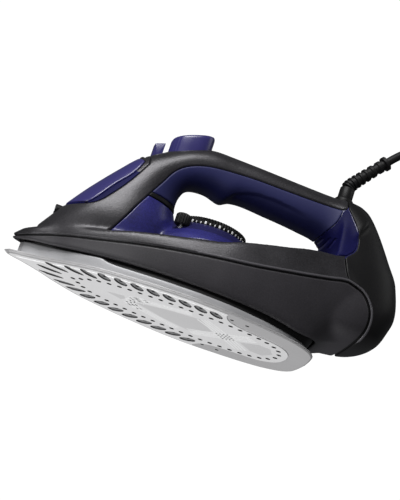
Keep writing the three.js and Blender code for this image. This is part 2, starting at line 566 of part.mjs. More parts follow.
function plugPin(side) {
  const middle = PLUG.y + side * PLUG.pinSide;
  return block([PLUG.face + GAP, middle - PLUG.pinHalf, PLUG.z - PLUG.pinHalf],
    [PLUG.pinTip, middle + PLUG.pinHalf, PLUG.z + PLUG.pinHalf]);
}

// ---------------------------------------------------------------- the pieces, by name
const screw = (x, y) => post(x, y, SCREW.shank, SCREW.bottom, SCREW.seat, 10)
  .add(post(x, y, SCREW.head, SCREW.seat, SCREW.seat + 2, 12));
const knobRod = () => post(KNOB.x, KNOB.y, KNOB.rod, 13, KNOB.bottom - GAP, 10);
const thermalFuse = () => block([FUSE.back, -FUSE.half, STACK.fittings], [FUSE.front, FUSE.half, FUSE.top]);
const terminalBlock = () => block([TERMINALS.back, -TERMINALS.half, TERMINALS.bottom],
  [TERMINALS.front, TERMINALS.half, TERMINALS.top]);
// From the terminal block down to the thermostat.
const LEAD_ROUTE = [[-101.6, 0, 76], [-96, 0, 72], [-80, 6, 52], [-55, 10, 34], [-30, 12, 24], [-9, 4, 19]];
// From the coil up to the plug.
const TAIL_ROUTE = [[-276.4, 42, 14.2], [-271.5, 42, 15.6], [-267, 42, 18], [PLUG.tail - 0.6, PLUG.y, PLUG.z]];

const pieces = {
  soleplate: [soleplate, 'sole'],
  sole_casting: [soleCasting, 'casting'],
  heating_element: [heatingElement, 'steel'],
  chamber_gasket: [chamberGasket, 'silicone'],
  chamber_cover: [chamberCover, 'casting'],
  heat_skirt: [heatSkirt, 'black'],
  lower_shell: [lowerShell, 'charcoal'],
  upper_shell: [upperShell, 'gunmetal'],
  soft_grip: [() => pieceOf('grip'), 'navy'],
  grip_collar: [() => pieceOf('collar'), 'black'],
  water_tank: [waterTank, 'blue'],
  rear_window: [() => pieceOf('rear'), 'blue'],
  heel_cover: [heelCover, 'black'],
  filler_bezel: [fillerBezel, 'blue'],
  filler_door: [fillerDoor, 'blue'],
  door_hinge_pin: [() => hingeBarrel(HINGE.pin, HINGE.ear - 0.3), 'steel'],
  spray_nozzle: [sprayNozzle, 'black'],
  burst_button: [() => button(1), 'blue'],
  spray_button: [() => button(-1), 'blue'],
  burst_pump: [() => pump(1), 'clear'],
  spray_pump: [() => pump(-1), 'clear'],
  burst_spring: [() => spring(1), 'steel'],
  spray_spring: [() => spring(-1), 'steel'],
  steam_lever: [steamLever, 'blue'],
  steam_valve_rod: [() => post(VALVE.x, 0, VALVE.radius, VALVE.bottom, VALVE.top, 12), 'steel'],
  temperature_dial: [dialCap, 'black'],
  thermostat_shaft: [() => post(DIAL.x, 0, 2.4, 17.3, DIAL.bottom - GAP, 12), 'brass'],
  thermostat: [thermostat, 'steel'],
  self_clean_knob: [() => post(KNOB.x, KNOB.y, KNOB.radius, KNOB.bottom, KNOB.top, 20), 'black'],
  self_clean_rod: [knobRod, 'steel'],
  thermal_fuse: [thermalFuse, 'steel'],
  terminal_block: [terminalBlock, 'clear'],
  lead_bundle: [() => tube(LEAD_ROUTE, 2.2, 14), 'amber'],
  pilot_lamp: [() => post(LAMP.x, 0, LAMP.radius, LAMP.bottom, LAMP.top), 'amber'],
  screw_front: [() => screw(SCREW.front, 0), 'steel'],
  screw_left: [() => screw(SCREW.back, SCREW.side), 'steel'],
  screw_right: [() => screw(SCREW.back, -SCREW.side), 'steel'],
  cord_sleeve: [cordSleeve, 'black'],
  cord_guard: [cordGuard, 'black'],
  cord: [() => tube(CORD_ROUTE, CORD.radius, 36), 'black'],
  cord_coil: [coil, 'black'],
  cord_tail: [() => tube(TAIL_ROUTE, CORD.radius, 5), 'black'],
  coil_tie: [coilTie, 'black'],
  plug_body: [plugBody, 'black'],
  plug_pin_left: [() => plugPin(1), 'brass'],
  plug_pin_right: [() => plugPin(-1), 'brass'],
};

const iron = new THREE.Group();
for (const [name, [make, finishName]] of Object.entries(pieces)) {
  const mesh = new THREE.Mesh(geometryOf(make()), FINISH[finishName]);
  mesh.name = name;
  iron.add(mesh);
}

export default iron;
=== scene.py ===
"""A steam iron seen from below its left side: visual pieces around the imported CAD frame.

Shapes are worked out in millimetres and become metres when a mesh is made. +X is the nose, +Y the left
side and +Z up, as in the frame.
"""
import json

import bpy
import numpy as np
from mathutils import Matrix, Vector


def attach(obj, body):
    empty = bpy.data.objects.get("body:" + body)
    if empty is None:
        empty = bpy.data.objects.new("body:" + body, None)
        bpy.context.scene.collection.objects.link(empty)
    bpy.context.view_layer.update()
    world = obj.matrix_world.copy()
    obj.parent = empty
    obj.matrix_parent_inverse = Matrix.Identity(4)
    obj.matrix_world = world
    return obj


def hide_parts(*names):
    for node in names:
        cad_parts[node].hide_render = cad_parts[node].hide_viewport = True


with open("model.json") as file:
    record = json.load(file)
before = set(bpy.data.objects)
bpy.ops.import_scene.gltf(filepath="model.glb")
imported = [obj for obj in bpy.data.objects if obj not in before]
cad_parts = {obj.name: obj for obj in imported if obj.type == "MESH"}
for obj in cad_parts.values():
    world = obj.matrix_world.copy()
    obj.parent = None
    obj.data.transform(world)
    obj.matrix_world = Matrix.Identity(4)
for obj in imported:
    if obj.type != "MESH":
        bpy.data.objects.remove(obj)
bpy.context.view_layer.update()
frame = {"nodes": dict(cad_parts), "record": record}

MM = 0.001
GAP = 0.3                      # between neighbouring pieces
VOXEL = 1.2                    # size of the casing surface's facets
SMOOTHING = 10                 # rounds of smoothing that blend the casing's volumes
NORMAL_SMOOTHING = 5           # further rounds that even out its shading
WALL = 2.2                     # thickness of the pieces cut from that surface


# ------------------------ camera, stage and lights
CAMERA_AT = Vector((0.24685, 1.50130, -0.43256))
CAMERA_LOOK = Vector((-0.14736, -0.94027, 0.30690))
CAMERA_UP = Vector((0.35994, 0.23803, 0.90210))
CAMERA_LENS = 150.0


def placed(name, data):
    """A new object in the scene."""
    made = bpy.data.objects.new(name, data)
    bpy.context.collection.objects.link(made)
    return made


def add_camera():
    data = bpy.data.cameras.new("camera")
    data.lens = CAMERA_LENS
    data.sensor_width = 36.0
    camera = placed("camera", data)
    right = CAMERA_LOOK.cross(CAMERA_UP).normalized()
    up = right.cross(CAMERA_LOOK).normalized()
    turn = Matrix((right, up, -CAMERA_LOOK.normalized())).transposed()
    camera.matrix_world = Matrix.Translation(CAMERA_AT) @ turn.to_4x4()
    bpy.context.scene.camera = camera
    bpy.context.scene.view_settings.view_transform = "Standard"


# Each light: its place, width, height and power. They all face the middle of the iron.
LIGHTS = {
    "key_above": ((0.5, 0.75, 1.1), 0.9, 0.5, 20),
    "fill_front": ((1.2, 1.3, -0.1), 0.5, 0.9, 10),
    "rear": ((-1.1, 0.1, 0.9), 0.6, 0.6, 1.5),
    "below": ((0.35, 0.1, -1.3), 1.4, 1.0, 19),
}
MIDDLE = Vector((0, 0, 0.06))


def add_lights():
    for name, (at, width, height, power) in LIGHTS.items():
        data = bpy.data.lights.new(name, "AREA")
        data.shape = "RECTANGLE"
        data.size, data.size_y = width, height
        data.energy = power
        light = placed(name, data)
        light.location = at
        light.rotation_euler = (MIDDLE - Vector(at)).to_track_quat("-Z", "Y").to_euler()


def new_tree(owner):
    """Turns on a world's or material's nodes. Returns them and a function that adds one more."""
    owner.use_nodes = True
    tree = owner.node_tree

    def add(kind, **inputs):
        node = tree.nodes.new(f"ShaderNode{kind}")
        for socket, value in inputs.items():
            give(node, socket.replace("_", " "), value)
        return node

    def give(node, socket, value):
        """Sets a socket to a value, or links another node's output to it."""
        if isinstance(value, bpy.types.NodeSocket):
            tree.links.new(value, node.inputs[socket])
        else:
            node.inputs[socket].default_value = value

    return tree.nodes, add, give


def add_world():
    world = bpy.data.worlds.new("studio")
    bpy.context.scene.world = world
    nodes, add, give = new_tree(world)
    give(nodes["Background"], "Color", (1, 1, 1, 1))
    give(nodes["Background"], "Strength", 1.05)
    lit = add("Background", Color=(0.93, 0.96, 1, 1), Strength=0.1)
    mix = add("MixShader", Fac=add("LightPath").outputs["Is Camera Ray"])
    give(mix, 1, lit.outputs[0])
    give(mix, 2, nodes["Background"].outputs[0])
    give(nodes["World Output"], "Surface", mix.outputs[0])


def add_floor():
    """A pale floor that is seen from above only, so that the soleplate shows from below."""
    half, level = 3.0, -0.0006
    corners = [(-half, -half, level), (half, -half, level), (half, half, level), (-half, half, level)]
    mesh = bpy.data.meshes.new("floor")
    mesh.from_pydata(corners, [], [(0, 1, 2, 3)])
    floor = placed("floor", mesh)
    paint = bpy.data.materials.new("floor")
    nodes, add, give = new_tree(paint)
    give(nodes["Principled BSDF"], "Base Color", (0.86, 0.86, 0.86, 1))
    give(nodes["Principled BSDF"], "Roughness", 0.7)
    mix = add("MixShader", Fac=add("NewGeometry").outputs["Backfacing"])
    give(mix, 1, nodes["Principled BSDF"].outputs[0])
    give(mix, 2, add("BsdfTransparent").outputs[0])
    give(nodes["Material Output"], "Surface", mix.outputs[0])
    mesh.materials.append(paint)
    for ray in ("diffuse", "glossy", "transmission", "shadow"):
        setattr(floor, f"visible_{ray}", False)


# ------------------------ materials
def material(name, colour, roughness, metallic, grain, grain_size, mottle, sockets=()):
    """A finish with fine grain in its bump, and slow changes of tone and gloss.

    grain is the bump's strength, grain_size is in millimetres, mottle is the share by which the tone
    changes, and sockets holds further (socket, value) pairs.
    """
    made = bpy.data.materials.new(name)
    nodes, add, give = new_tree(made)
    shader = nodes["Principled BSDF"]
    for socket, value in [("Metallic", metallic), *sockets]:
        give(shader, socket, value)
    place = add("TexCoord").outputs["Object"]
    slow = add("TexNoise", Scale=28, Detail=3, Vector=place).outputs["Fac"]
    fine = add("TexNoise", Scale=1 / (grain_size * MM), Detail=2, Vector=place).outputs["Fac"]
    tone = add("ValToRGB", Fac=add("Mix", Factor=0.5, A=slow, B=fine).outputs["Result"])
    for stop, position, change in zip(tone.color_ramp.elements, (0.3, 0.7), (1 - mottle, 1 + mottle)):
        stop.position = position
        stop.color = (*[min(c * change, 1) for c in colour], 1)
    give(shader, "Base Color", tone.outputs["Color"])
    gloss = add("MapRange", To_Min=max(roughness - 0.04, 0.02), To_Max=min(roughness + 0.04, 1), Value=slow)
    give(shader, "Roughness", gloss.outputs["Result"])
    if grain:
        bump = add("Bump", Strength=grain, Distance=0.1 * MM, Height=fine)
        give(shader, "Normal", bump.outputs["Normal"])
    return made


def dull(level):
    return [("Specular IOR Level", level)]


def coat(weight, roughness):
    return [("Coat Weight", weight), ("Coat Roughness", roughness)]


# Each finish: colour, roughness, metallic, grain, grain size, mottle and any further sockets.
FINISHES = {
    "gunmetal_plastic": ((0.033, 0.0315, 0.035), 0.34, 0.45, 0.8, 1.1, 0.55),
    "charcoal_plastic": ((0.025, 0.023, 0.027), 0.48, 0.1, 0.7, 1.1, 0.3),
    "navy_grip": ((0.007, 0.009, 0.075), 0.6, 0, 0.35, 0.5, 0.1),
    "blue_gloss": ((0.03, 0.026, 0.13), 0.32, 0, 0, 1, 0.06, coat(0.25, 0.2)),
    "blue_clear": ((0.018, 0.017, 0.12), 0.4, 0, 0, 1, 0.7, dull(0.35) + coat(0.2, 0.18)),
    "window_blue": ((0.007, 0.007, 0.055), 0.5, 0, 0, 1, 0.3, dull(0.06)),
    "skirt_blue": ((0.013, 0.012, 0.062), 0.36, 0, 0, 1, 0.5, dull(0.35)),
    "black_plastic": ((0.006, 0.0058, 0.0062), 0.46, 0, 0.3, 0.5, 0.15, dull(0.2)),
    "cord_rubber": ((0.007, 0.007, 0.0075), 0.52, 0, 0.4, 0.6, 0.12, dull(0.2)),
    "bead": ((0.075, 0.072, 0.08), 0.42, 0.2, 0.2, 0.5, 0.1),
    "casting": ((0.34, 0.34, 0.35), 0.44, 0.25, 0.1, 0.8, 0.05),
    "steel": ((0.56, 0.56, 0.57), 0.25, 1, 0.1, 0.4, 0.06),
    "brass": ((0.62, 0.45, 0.18), 0.28, 1, 0.1, 0.4, 0.08),
    "silicone": ((0.42, 0.07, 0.03), 0.6, 0, 0.3, 0.6, 0.08),
    "clear_plastic": ((0.7, 0.71, 0.73), 0.3, 0, 0.1, 0.6, 0.04),
    "amber_lens": ((0.8, 0.25, 0.03), 0.15, 0, 0, 1, 0.05, [("Coat Weight", 1.0)]),
    "white_print": ((0.7, 0.7, 0.7), 0.5, 0, 0.1, 0.4, 0.03),
    "sole": ((0.86, 0.855, 0.86), 0.36, 0.12, 0.05, 0.6, 0.03),
    # Painted shade: darker copies of the sole's finish for its recessed rear band and its rounded rim.
    "sole_band_painted_shade": ((0.52, 0.515, 0.52), 0.4, 0.15, 0.05, 0.6, 0.03),
    "sole_rim_painted_shade": ((0.36, 0.355, 0.36), 0.42, 0.15, 0.05, 0.6, 0.03),
    "sole_shade": ((0.72, 0.715, 0.72), 0.36, 0.15, 0.05, 0.6, 0.02),
    "sole_print": ((0.95, 0.95, 0.95), 0.3, 0, 0.1, 0.4, 0.02),
    # Painted shade: darker copies of the sole's finish for the floors of its slits and leaves, for their
    # walls and inside its steam holes.
    "sole_recess_painted_shade": ((0.26, 0.26, 0.265), 0.4, 0.2, 0.2, 0.4, 0.06),
    "recess_wall_painted_shade": ((0.06, 0.06, 0.062), 0.5, 0.2, 0.2, 0.4, 0.06),
    "steam_hole_painted_shade": ((0.02, 0.02, 0.02), 0.6, 0, 0.2, 0.4, 0.05),
}
FINISH = {name: material(name, *values) for name, values in FINISHES.items()}


# ------------------------ curves
columns = np.column_stack


def share_of(value):
    """A value kept between 0 and 1."""
    return np.clip(value, 0, 1)


def through(points):
    """A smooth curve through [x, value] points that doesn't overshoot between them."""
    xs, values = np.array(points, float).T
    steps = np.diff(values) / np.diff(xs)
    slopes = np.zeros_like(values)
    for i in range(1, len(values) - 1):
        if steps[i - 1] * steps[i] > 0:
            slopes[i] = 2 * steps[i - 1] * steps[i] / (steps[i - 1] + steps[i])

    def at(x):
        x = np.clip(np.asarray(x, float), xs[0], xs[-1])
        i = np.clip(np.searchsorted(xs, x) - 1, 0, len(xs) - 2)
        span = xs[i + 1] - xs[i]
        t = (x - xs[i]) / span
        rise = span * (slopes[i] * t * (1 - t) ** 2 - slopes[i + 1] * t * t * (1 - t))
        return values[i] + (values[i + 1] - values[i]) * t * t * (3 - 2 * t) + rise

    return at


def smooth_line(points, per_step=8):
    """A Catmull-Rom line through points, which may have any number of columns."""
    p = np.array(points, float)
    p = np.vstack([2 * p[0] - p[1], p, 2 * p[-1] - p[-2]])
    t = np.linspace(0, 1, per_step, endpoint=False)[:, None]
    out = []
    for a, b, c, d in zip(p, p[1:], p[2:], p[3:]):
        out.append(0.5 * (2 * b + (c - a) * t + (2 * a - 5 * b + 4 * c - d) * t ** 2
                          + (3 * b - a - 3 * c + d) * t ** 3))
    return np.vstack(out + [p[-2]])


def polygon_distance(polygon):
    """A function that gives how far inside a closed outline a point lies; it is negative outside."""
    a = np.array(polygon, float)
    b = np.roll(a, -1, axis=0)

    def at(u, v):
        best = np.full(len(u), 1e9)
        inside = np.zeros(len(u), bool)
        for (ax, ay), (bx, by) in zip(a, b):
            ex, ey = bx - ax, by - ay
            wx, wy = u - ax, v - ay
            t = share_of((wx * ex + wy * ey) / max(ex * ex + ey * ey, 1e-12))
            best = np.minimum(best, (wx - t * ex) ** 2 + (wy - t * ey) ** 2)
            crosses = (ay > v) != (by > v)
            if ay != by:
                inside ^= crosses & (u < (bx - ax) * (v - ay) / (by - ay) + ax)
        return np.where(inside, 1, -1) * np.sqrt(best)

    return at


def around(count):
    """Angles of a full turn, in even steps."""
    return np.linspace(0, 2 * np.pi, count, endpoint=False)


def superellipse(angle, roundness):
    """Two coordinates round a shape between a circle, at roundness 2, and a square."""
    c, s = np.cos(angle), np.sin(angle)
    return np.sign(c) * np.abs(c) ** (2 / roundness), np.sign(s) * np.abs(s) ** (2 / roundness)


# ------------------------ meshes
def object_of(name, points, faces, finish, body, smooth=True, replaces=None, sharp=40, normals=None,
              also=()):
    """Makes a piece from points in millimetres.

    A name that starts with visual_ goes on with the CAD node that the piece replaces, unless replaces says
    another. normals are set where they aren't zero. also holds (finish, test) pairs: faces whose centre
    passes the test take that finish instead.
    """
    mesh = bpy.data.meshes.new(name)
    points = np.asarray(points, float) * MM
    mesh.from_pydata(points.tolist(), [], [tuple(int(i) for i in f) for f in faces])
    mesh.validate()
    mesh.materials.append(FINISH[finish])
    if smooth:
        mesh.polygons.foreach_set("use_smooth", np.ones(len(mesh.polygons), bool))
        mesh.set_sharp_from_angle(angle=np.radians(sharp))
    if normals is not None:
        mesh.normals_split_custom_set_from_vertices(normals.tolist())
    centres = np.empty(len(mesh.polygons) * 3)
    mesh.polygons.foreach_get("center", centres)
    centres = centres.reshape(-1, 3) / MM
    chosen = np.zeros(len(centres), int)
    for number, (other, test) in enumerate(also):
        mesh.materials.append(FINISH[other])
        chosen[test(centres)] = number + 1
    mesh.polygons.foreach_set("material_index", chosen)
    piece = placed(name, mesh)
    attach(piece, body)
    if name.startswith("visual_"):
        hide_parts(replaces or name.removeprefix("visual_"))


def bridged(rings, closed):
    """The points of rings of equal length, and the faces between each ring and the next."""
    rings = np.asarray(rings, float)
    count, sides = rings.shape[:2]
    i = np.arange(sides)
    j = (i + 1) % sides
    faces = []
    for r in range(count if closed else count - 1):
        low, high = r * sides, (r + 1) % count * sides
        faces += list(zip(low + i, low + j, high + j, high + i))
    return rings.reshape(-1, 3), faces


def outwards(points, faces):
    """A closed body with its faces turned to look outwards."""
    volume = 0
    for f in faces:
        for k in range(1, len(f) - 1):
            volume += np.dot(points[f[0]], np.cross(points[f[k]], points[f[k + 1]]))
    return points, faces if volume > 0 else [f[::-1] for f in faces]


def stack(rings):
    """A closed body skinned over rings, with a fan at each end."""
    points, faces = bridged(rings, False)
    sides = len(rings[0])
    hub, last = len(points), len(points) - sides
    i = np.arange(sides)
    j = (i + 1) % sides
    faces += [(hub, b, a) for a, b in zip(i, j)]
    faces += [(hub + 1, last + a, last + b) for a, b in zip(i, j)]
    return outwards(np.vstack([points, points[:sides].mean(axis=0), points[last:].mean(axis=0)]), faces)


def hoop(rings):
    """A body skinned over rings that come back to the first one."""
    return outwards(*bridged(rings, True))


def level_ring(outline, height):
    """An outline in plan at a height, which may be a number or a function of x."""
    heights = height(outline[:, 0]) if callable(height) else np.full(len(outline), height)
    return columns([outline, heights])


def spin(profile, sides=64, centre=(0, 0), ripple=None):
    """A body turned round the vertical: profile is [radius, height] points from bottom to top."""
    angle = around(sides)
    rings = []
    for radius, height in profile:
        r = radius + (ripple(angle, radius, height) if ripple else 0)
        outline = columns([centre[0] + r * np.cos(angle), centre[1] + r * np.sin(angle)])
        rings.append(level_ring(outline, height))
    return stack(rings)


def lying(body, x, y, z):
    """A body that stands on the origin, laid down to point forwards from a place."""
    points, faces = body
    return columns([x + points[:, 2], y + points[:, 1], z - points[:, 0]]), faces


def prism(outline, low, high, axis, rounding=0.0):
    """A flat outline extruded along y or z between two levels, with its end edges rounded."""
    outline = np.array(outline, float)
    centre = outline.mean(axis=0)
    reach = np.abs(outline - centre).max()
    levels = [(low, rounding), (low + 0.3 * rounding, 0.3 * rounding), (low + rounding, 0),
              (high - rounding, 0), (high - 0.3 * rounding, 0.3 * rounding), (high, rounding)]
    rings = []
    for level, drawn in levels:
        ring = level_ring(centre + (outline - centre) * (1 - drawn / reach), level)
        rings.append(ring[:, [0, 2, 1]] if axis == "y" else ring)
    return stack(rings)


def rounded_outline(points, radius, steps=5):
    """A polygon with its corners rounded."""
    p = np.array(points, float)
    out = []
    for before, corner, after in zip(np.roll(p, 1, axis=0), p, np.roll(p, -1, axis=0)):
        a, b = before - corner, after - corner
        reach = min(radius, 0.45 * np.linalg.norm(a), 0.45 * np.linalg.norm(b))
        start, end = corner + a / np.linalg.norm(a) * reach, corner + b / np.linalg.norm(b) * reach
        for t in np.linspace(0, 1, steps):
            out.append((1 - t) ** 2 * start + 2 * t * (1 - t) * corner + t * t * end)
    return np.array(out)


def sweep(path, radii, sides=24):
    """A round body along a path in the plane y = constant, with a radius at each point."""
    path = np.array(path, float)
    tangent = np.gradient(path, axis=0)
    tangent /= np.linalg.norm(tangent, axis=1)[:, None]
    across = columns([tangent[:, 2], np.zeros(len(path)), -tangent[:, 0]])
    across /= np.linalg.norm(across, axis=1)[:, None]
    other = np.cross(tangent, across)
    angle = around(sides)
    rings = []
    for centre, side, up, radius in zip(path, across, other, radii):
        rings.append(centre + radius * (np.cos(angle)[:, None] * side + np.sin(angle)[:, None] * up))
    return stack(rings)


def joined(*bodies):
    """Several points-and-faces pairs as one."""
    points, faces, start = [], [], 0
    for p, f in bodies:
        points.append(np.asarray(p, float))
        faces += [tuple(int(i) + start for i in face) for face in f]
        start += len(p)
    return np.vstack(points), faces


# ------------------------ cutting pieces out of a skin
ON_LINE = 0.02                 # points this close to a scored line count as on it


def vertex_normals(points, faces):
    a, b, c = points[faces[:, 0]], points[faces[:, 1]], points[faces[:, 2]]
    flat = np.cross(b - a, c - a)
    out = np.zeros_like(points)
    for k in range(3):
        np.add.at(out, faces[:, k], flat)
    return out / np.maximum(np.linalg.norm(out, axis=1), 1e-12)[:, None]


def face_edges(faces):
    """The three edges of each triangle, in turn."""
    return faces[:, [0, 1, 1, 2, 2, 0]].reshape(-1, 2)


def scored(points, faces, values, level):
    """Adds the line where values = level to a triangle mesh. Returns points, faces and values."""
    v = values - level
    v = np.where(np.abs(v) < ON_LINE, 0, v)
    edges, where = np.unique(np.sort(face_edges(faces), axis=1), axis=0, return_inverse=True)
    where = where.reshape(-1, 3)
    a, b = edges.T
    crossing = v[a] * v[b] < 0
    if not crossing.any():
        return points, faces, values
    t = (v[a] / np.where(crossing, v[a] - v[b], 1))[:, None]
    fresh = np.full(len(edges), -1)
    fresh[crossing] = len(points) + np.arange(crossing.sum())
    points = np.vstack([points, (points[a] + t * (points[b] - points[a]))[crossing]])
    values = np.concatenate([values, np.full(crossing.sum(), level)])
    middle = fresh[where]
    cuts = (middle >= 0).sum(axis=1)
    out = [faces[cuts == 0]]
    for k in range(3):
        k1, k2 = (k + 1) % 3, (k + 2) % 3
        two = (cuts == 2) & (middle[:, k] >= 0) & (middle[:, k2] >= 0)
        f, m, n = faces[two], middle[two, k], middle[two, k2]
        out += [columns([f[:, k], m, n]), columns([m, f[:, k1], f[:, k2]]), columns([m, f[:, k2], n])]
        one = (cuts == 1) & (middle[:, k1] >= 0)
        f, m = faces[one], middle[one, k1]
        out += [columns([f[:, k], f[:, k1], m]), columns([f[:, k], m, f[:, k2]])]
    return points, np.vstack(out), values


def compact(points, faces, values=None):
    """The points that the faces use, and their values, with the faces renumbered."""
    used, again = np.unique(faces, return_inverse=True)
    kept = points[used], again.reshape(faces.shape)
    return kept if values is None else (*kept, values[used])


def walled(points, faces, normals, thickness):
    """Gives an open skin a thickness inwards and closes its rim."""
    count = len(points)
    both = np.vstack([points, points - normals * thickness])
    edges = face_edges(faces)
    _, where, times = np.unique(np.sort(edges, axis=1), axis=0, return_inverse=True, return_counts=True)
    rim = edges[times[where.reshape(-1)] == 1]
    sides = np.vstack([columns([rim[:, 1], rim[:, 0], rim[:, 0] + count]),
                       columns([rim[:, 1], rim[:, 0] + count, rim[:, 1] + count])])
    return both, np.vstack([faces, faces[:, ::-1] + count, sides])


def cut_piece(skin, value, raised, groove, reach, drop, wall=WALL):
    """The part of a skin where value is over half a gap and the groove, with rounded edges and a wall.

    The skin's points carry their normals as three more columns. raised is a number or a function of the
    points. The edge is rounded over reach, and falls back by drop at the seam. Returns points, faces and
    the normals of the points that aren't on an edge or a relief.
    """
    points, faces = skin
    start = GAP / 2 + groove
    values = value(points)
    points, faces, values = compact(points, faces[values[faces].max(axis=1) > start - 0.5], values)
    for share in (0, 0.2, 0.5, 1):
        points, faces, values = scored(points, faces, values, start + share * reach)
    inside = values[faces].mean(axis=1) > start
    points, faces, values = compact(points, faces[inside], values)
    normals = points[:, 3:] / np.linalg.norm(points[:, 3:], axis=1)[:, None]
    share = share_of((values - start) / reach)
    relief = raised(points) if callable(raised) else np.zeros(len(points))
    height = relief if callable(raised) else raised
    points = points[:, :3] + normals * (height - drop * (1 - share) ** 2)[:, None]
    kept = np.vstack([normals * ((share >= 1) & (relief == 0))[:, None], np.zeros_like(normals)])
    return (*walled(points, faces, normals, wall), kept)


# ------------------------ the casing's whole surface
SOLE = {"nose": 152.4, "heel": -94.2, "half": 60.0}
REST_LOW, REST_HIGH = (-147.9, 56.0), (-142.3, 82.0)   # ends (x, z) of the flat that the iron stands up on
DIAL_X = 7.0
# Half widths of the sole and of the shell along x, then the heights of the shell's parting line, its
# underside and its deck.
sole_half = through([
    [-94.2, 0], [-93.6, 12], [-91.7, 27], [-83.7, 39.3], [-65.8, 49.6], [-39, 56.2], [-6.5, 60], [7, 59.9],
    [24.5, 58], [40, 55.5], [56, 51.8], [84, 43], [108, 29.5], [121.5, 19.6], [136, 11], [149.5, 4.2],
    [152.4, 0]])
widest = through([
    [-128, 28], [-118, 35], [-99, 43], [-83, 47.5], [-65, 51], [-38, 54.8], [-5, 56.6], [7, 56],
    [36, 52.8], [63, 46.5], [92, 35], [109, 26.5], [122, 18.5], [137, 11.5], [147, 4.5], [150, 1.6]])
parting = through([
    [-128, 64], [-98, 62.9], [-81, 58], [-57, 51.5], [-18, 42.8], [18.5, 37.2], [63, 30.2], [92, 25.7],
    [121, 21.9], [137, 18], [150, 15.5]])
underside = through([
    [-128, 27], [-112, 22.5], [-100, 18.5], [-88, 12], [-70, 10], [-55, 11.6], [-30, 13], [100, 13.3],
    [137, 13], [150, 12.5]])
# The flat of the underside as a share of the half width; the rear corners are rounded up.
foot_share = through([[-128, 0.4], [-112, 0.5], [-99, 0.6], [-80, 0.9], [-60, 0.96], [150, 0.96]])
deck = through([
    [-128, 86], [-93, 83], [-81, 80.8], [-62, 76.3], [-45, 70.5], [-29, 65.6], [-10, 59.4], [7, 53],
    [22, 49.5], [37, 45.9], [59, 41.4], [73, 38.4], [87, 35], [110, 31], [122, 29.5], [137, 24.8],
    [145, 21.4], [150, 17]])
# How far the shell leans in between its widest line and the deck.
deck_lean = through([
    [-128, 9], [-81, 8.5], [-45, 7.5], [-10, 5], [22, 3.5], [59, 2], [87, 1.5], [122, 2], [150, 1]])
# Each row of the heel: height, rearmost x, half width.
HEEL = [
    [19, -98, 16], [22, -119, 28], [26, -132.5, 38], [34, -142, 43], [45, -146, 43.5], [56, -148.6, 42],
    [82, -142.6, 37], [97, -133.1, 32], [115, -121, 25.3], [126, -112.5, 20.5], [133, -106, 15],
    [136.5, -101.5, 9]]
# Each row of the column and handle: outer x, z, inner x, z, half width, roundness of the section.
HANDLE = [
    [136, 28, 20, 36, 30, 1.7], [127.5, 41.5, 28, 56, 30, 1.9], [119, 55, 36, 67, 28, 2],
    [107.9, 71.5, 40, 76, 25, 2], [92, 92.5, 41, 84, 22.6, 2], [78.5, 108.3, 40, 90.5, 21.3, 2.1],
    [63, 119, 37, 97, 20.6, 2.3], [46, 128.4, 31, 100.8, 20.5, 2.5], [28, 134.2, 20, 101.8, 20.5, 2.6],
    [10, 135.2, 8, 98.8, 20.2, 2.6], [0, 135.2, -0.5, 102, 20, 2.6], [-12, 135.2, -12, 103.6, 20, 2.6],
    [-33, 135.1, -32, 103, 20, 2.6], [-56, 135, -55, 101.8, 20.2, 2.6], [-74, 135.2, -73, 99.6, 21, 2.6],
    [-92, 136.4, -80, 92, 25, 2.4], [-108, 128, -86, 80, 31, 2.2]]
# Each row of the round foot under the dial: height, half length, half width.
MOUND = [[36, 46, 48], [50, 46, 48], [58, 39, 41], [66, 32, 32.5], [69.7, 28.7, 28.7]]


def hull_rings():
    """Sections across the shell from nose to heel, bulging from the foot out to the parting line."""
    rings = []
    for x in np.linspace(150, -126, 100):
        half, low = widest(x), underside(x)
        high = max(deck(x), low + 0.6)
        middle = min(max(parting(x), low + 0.2), high - 0.2)
        edge = max(half - deck_lean(x), 0.3)
        foot = foot_share(x)
        side = [[0, low]]
        for t in np.linspace(0, 1, 10):
            side.append([half * (foot + (1 - foot) * (1 - (1 - t) ** 3.2)), low + (middle - low) * t])
        side += [[(half + edge) / 2 + 0.2, (middle + high) / 2], [edge, high], [0, high]]
        ring = side + [[-y, z] for y, z in side[-2:0:-1]]
        rings.append([[x, y, z] for y, z in ring])
    return rings


def heel_rings():
    """Level sections of the heel, rounded at the back."""
    heights, backs, halves = np.array(HEEL, float).T
    back, half = through(columns([heights, backs])), through(columns([heights, halves]))
    angle = np.linspace(-0.5, 0.5, 61) * np.pi
    out, side = superellipse(angle, 2.7)
    front = -84.0
    rings = []
    for z in np.linspace(heights[0], heights[-1], 60):
        outline = columns([front + (back(z) - front) * out, half(z) * side])
        rings.append(level_ring(outline, z))
    return rings


def handle_rings():
    """Sections across the column and the handle, from the nose round to the heel."""
    angle = around(72)
    rings = []
    for ox, oz, ix, iz, half, roundness in smooth_line(HANDLE, 8):
        middle, run = np.array([ox + ix, oz + iz]) / 2, np.array([ox - ix, oz - iz]) / 2
        a, b = superellipse(angle, roundness)
        rings.append(columns([middle[0] + run[0] * a, half * b, middle[1] + run[1] * a]))
    return rings


def mound_rings():
    """Level sections of the round foot under the dial."""
    angle = around(96)
    rings = []
    for height, long, wide in smooth_line(MOUND, 5):
        outline = columns([DIAL_X + long * np.cos(angle), wide * np.sin(angle)])
        rings.append(level_ring(outline, height))
    return rings


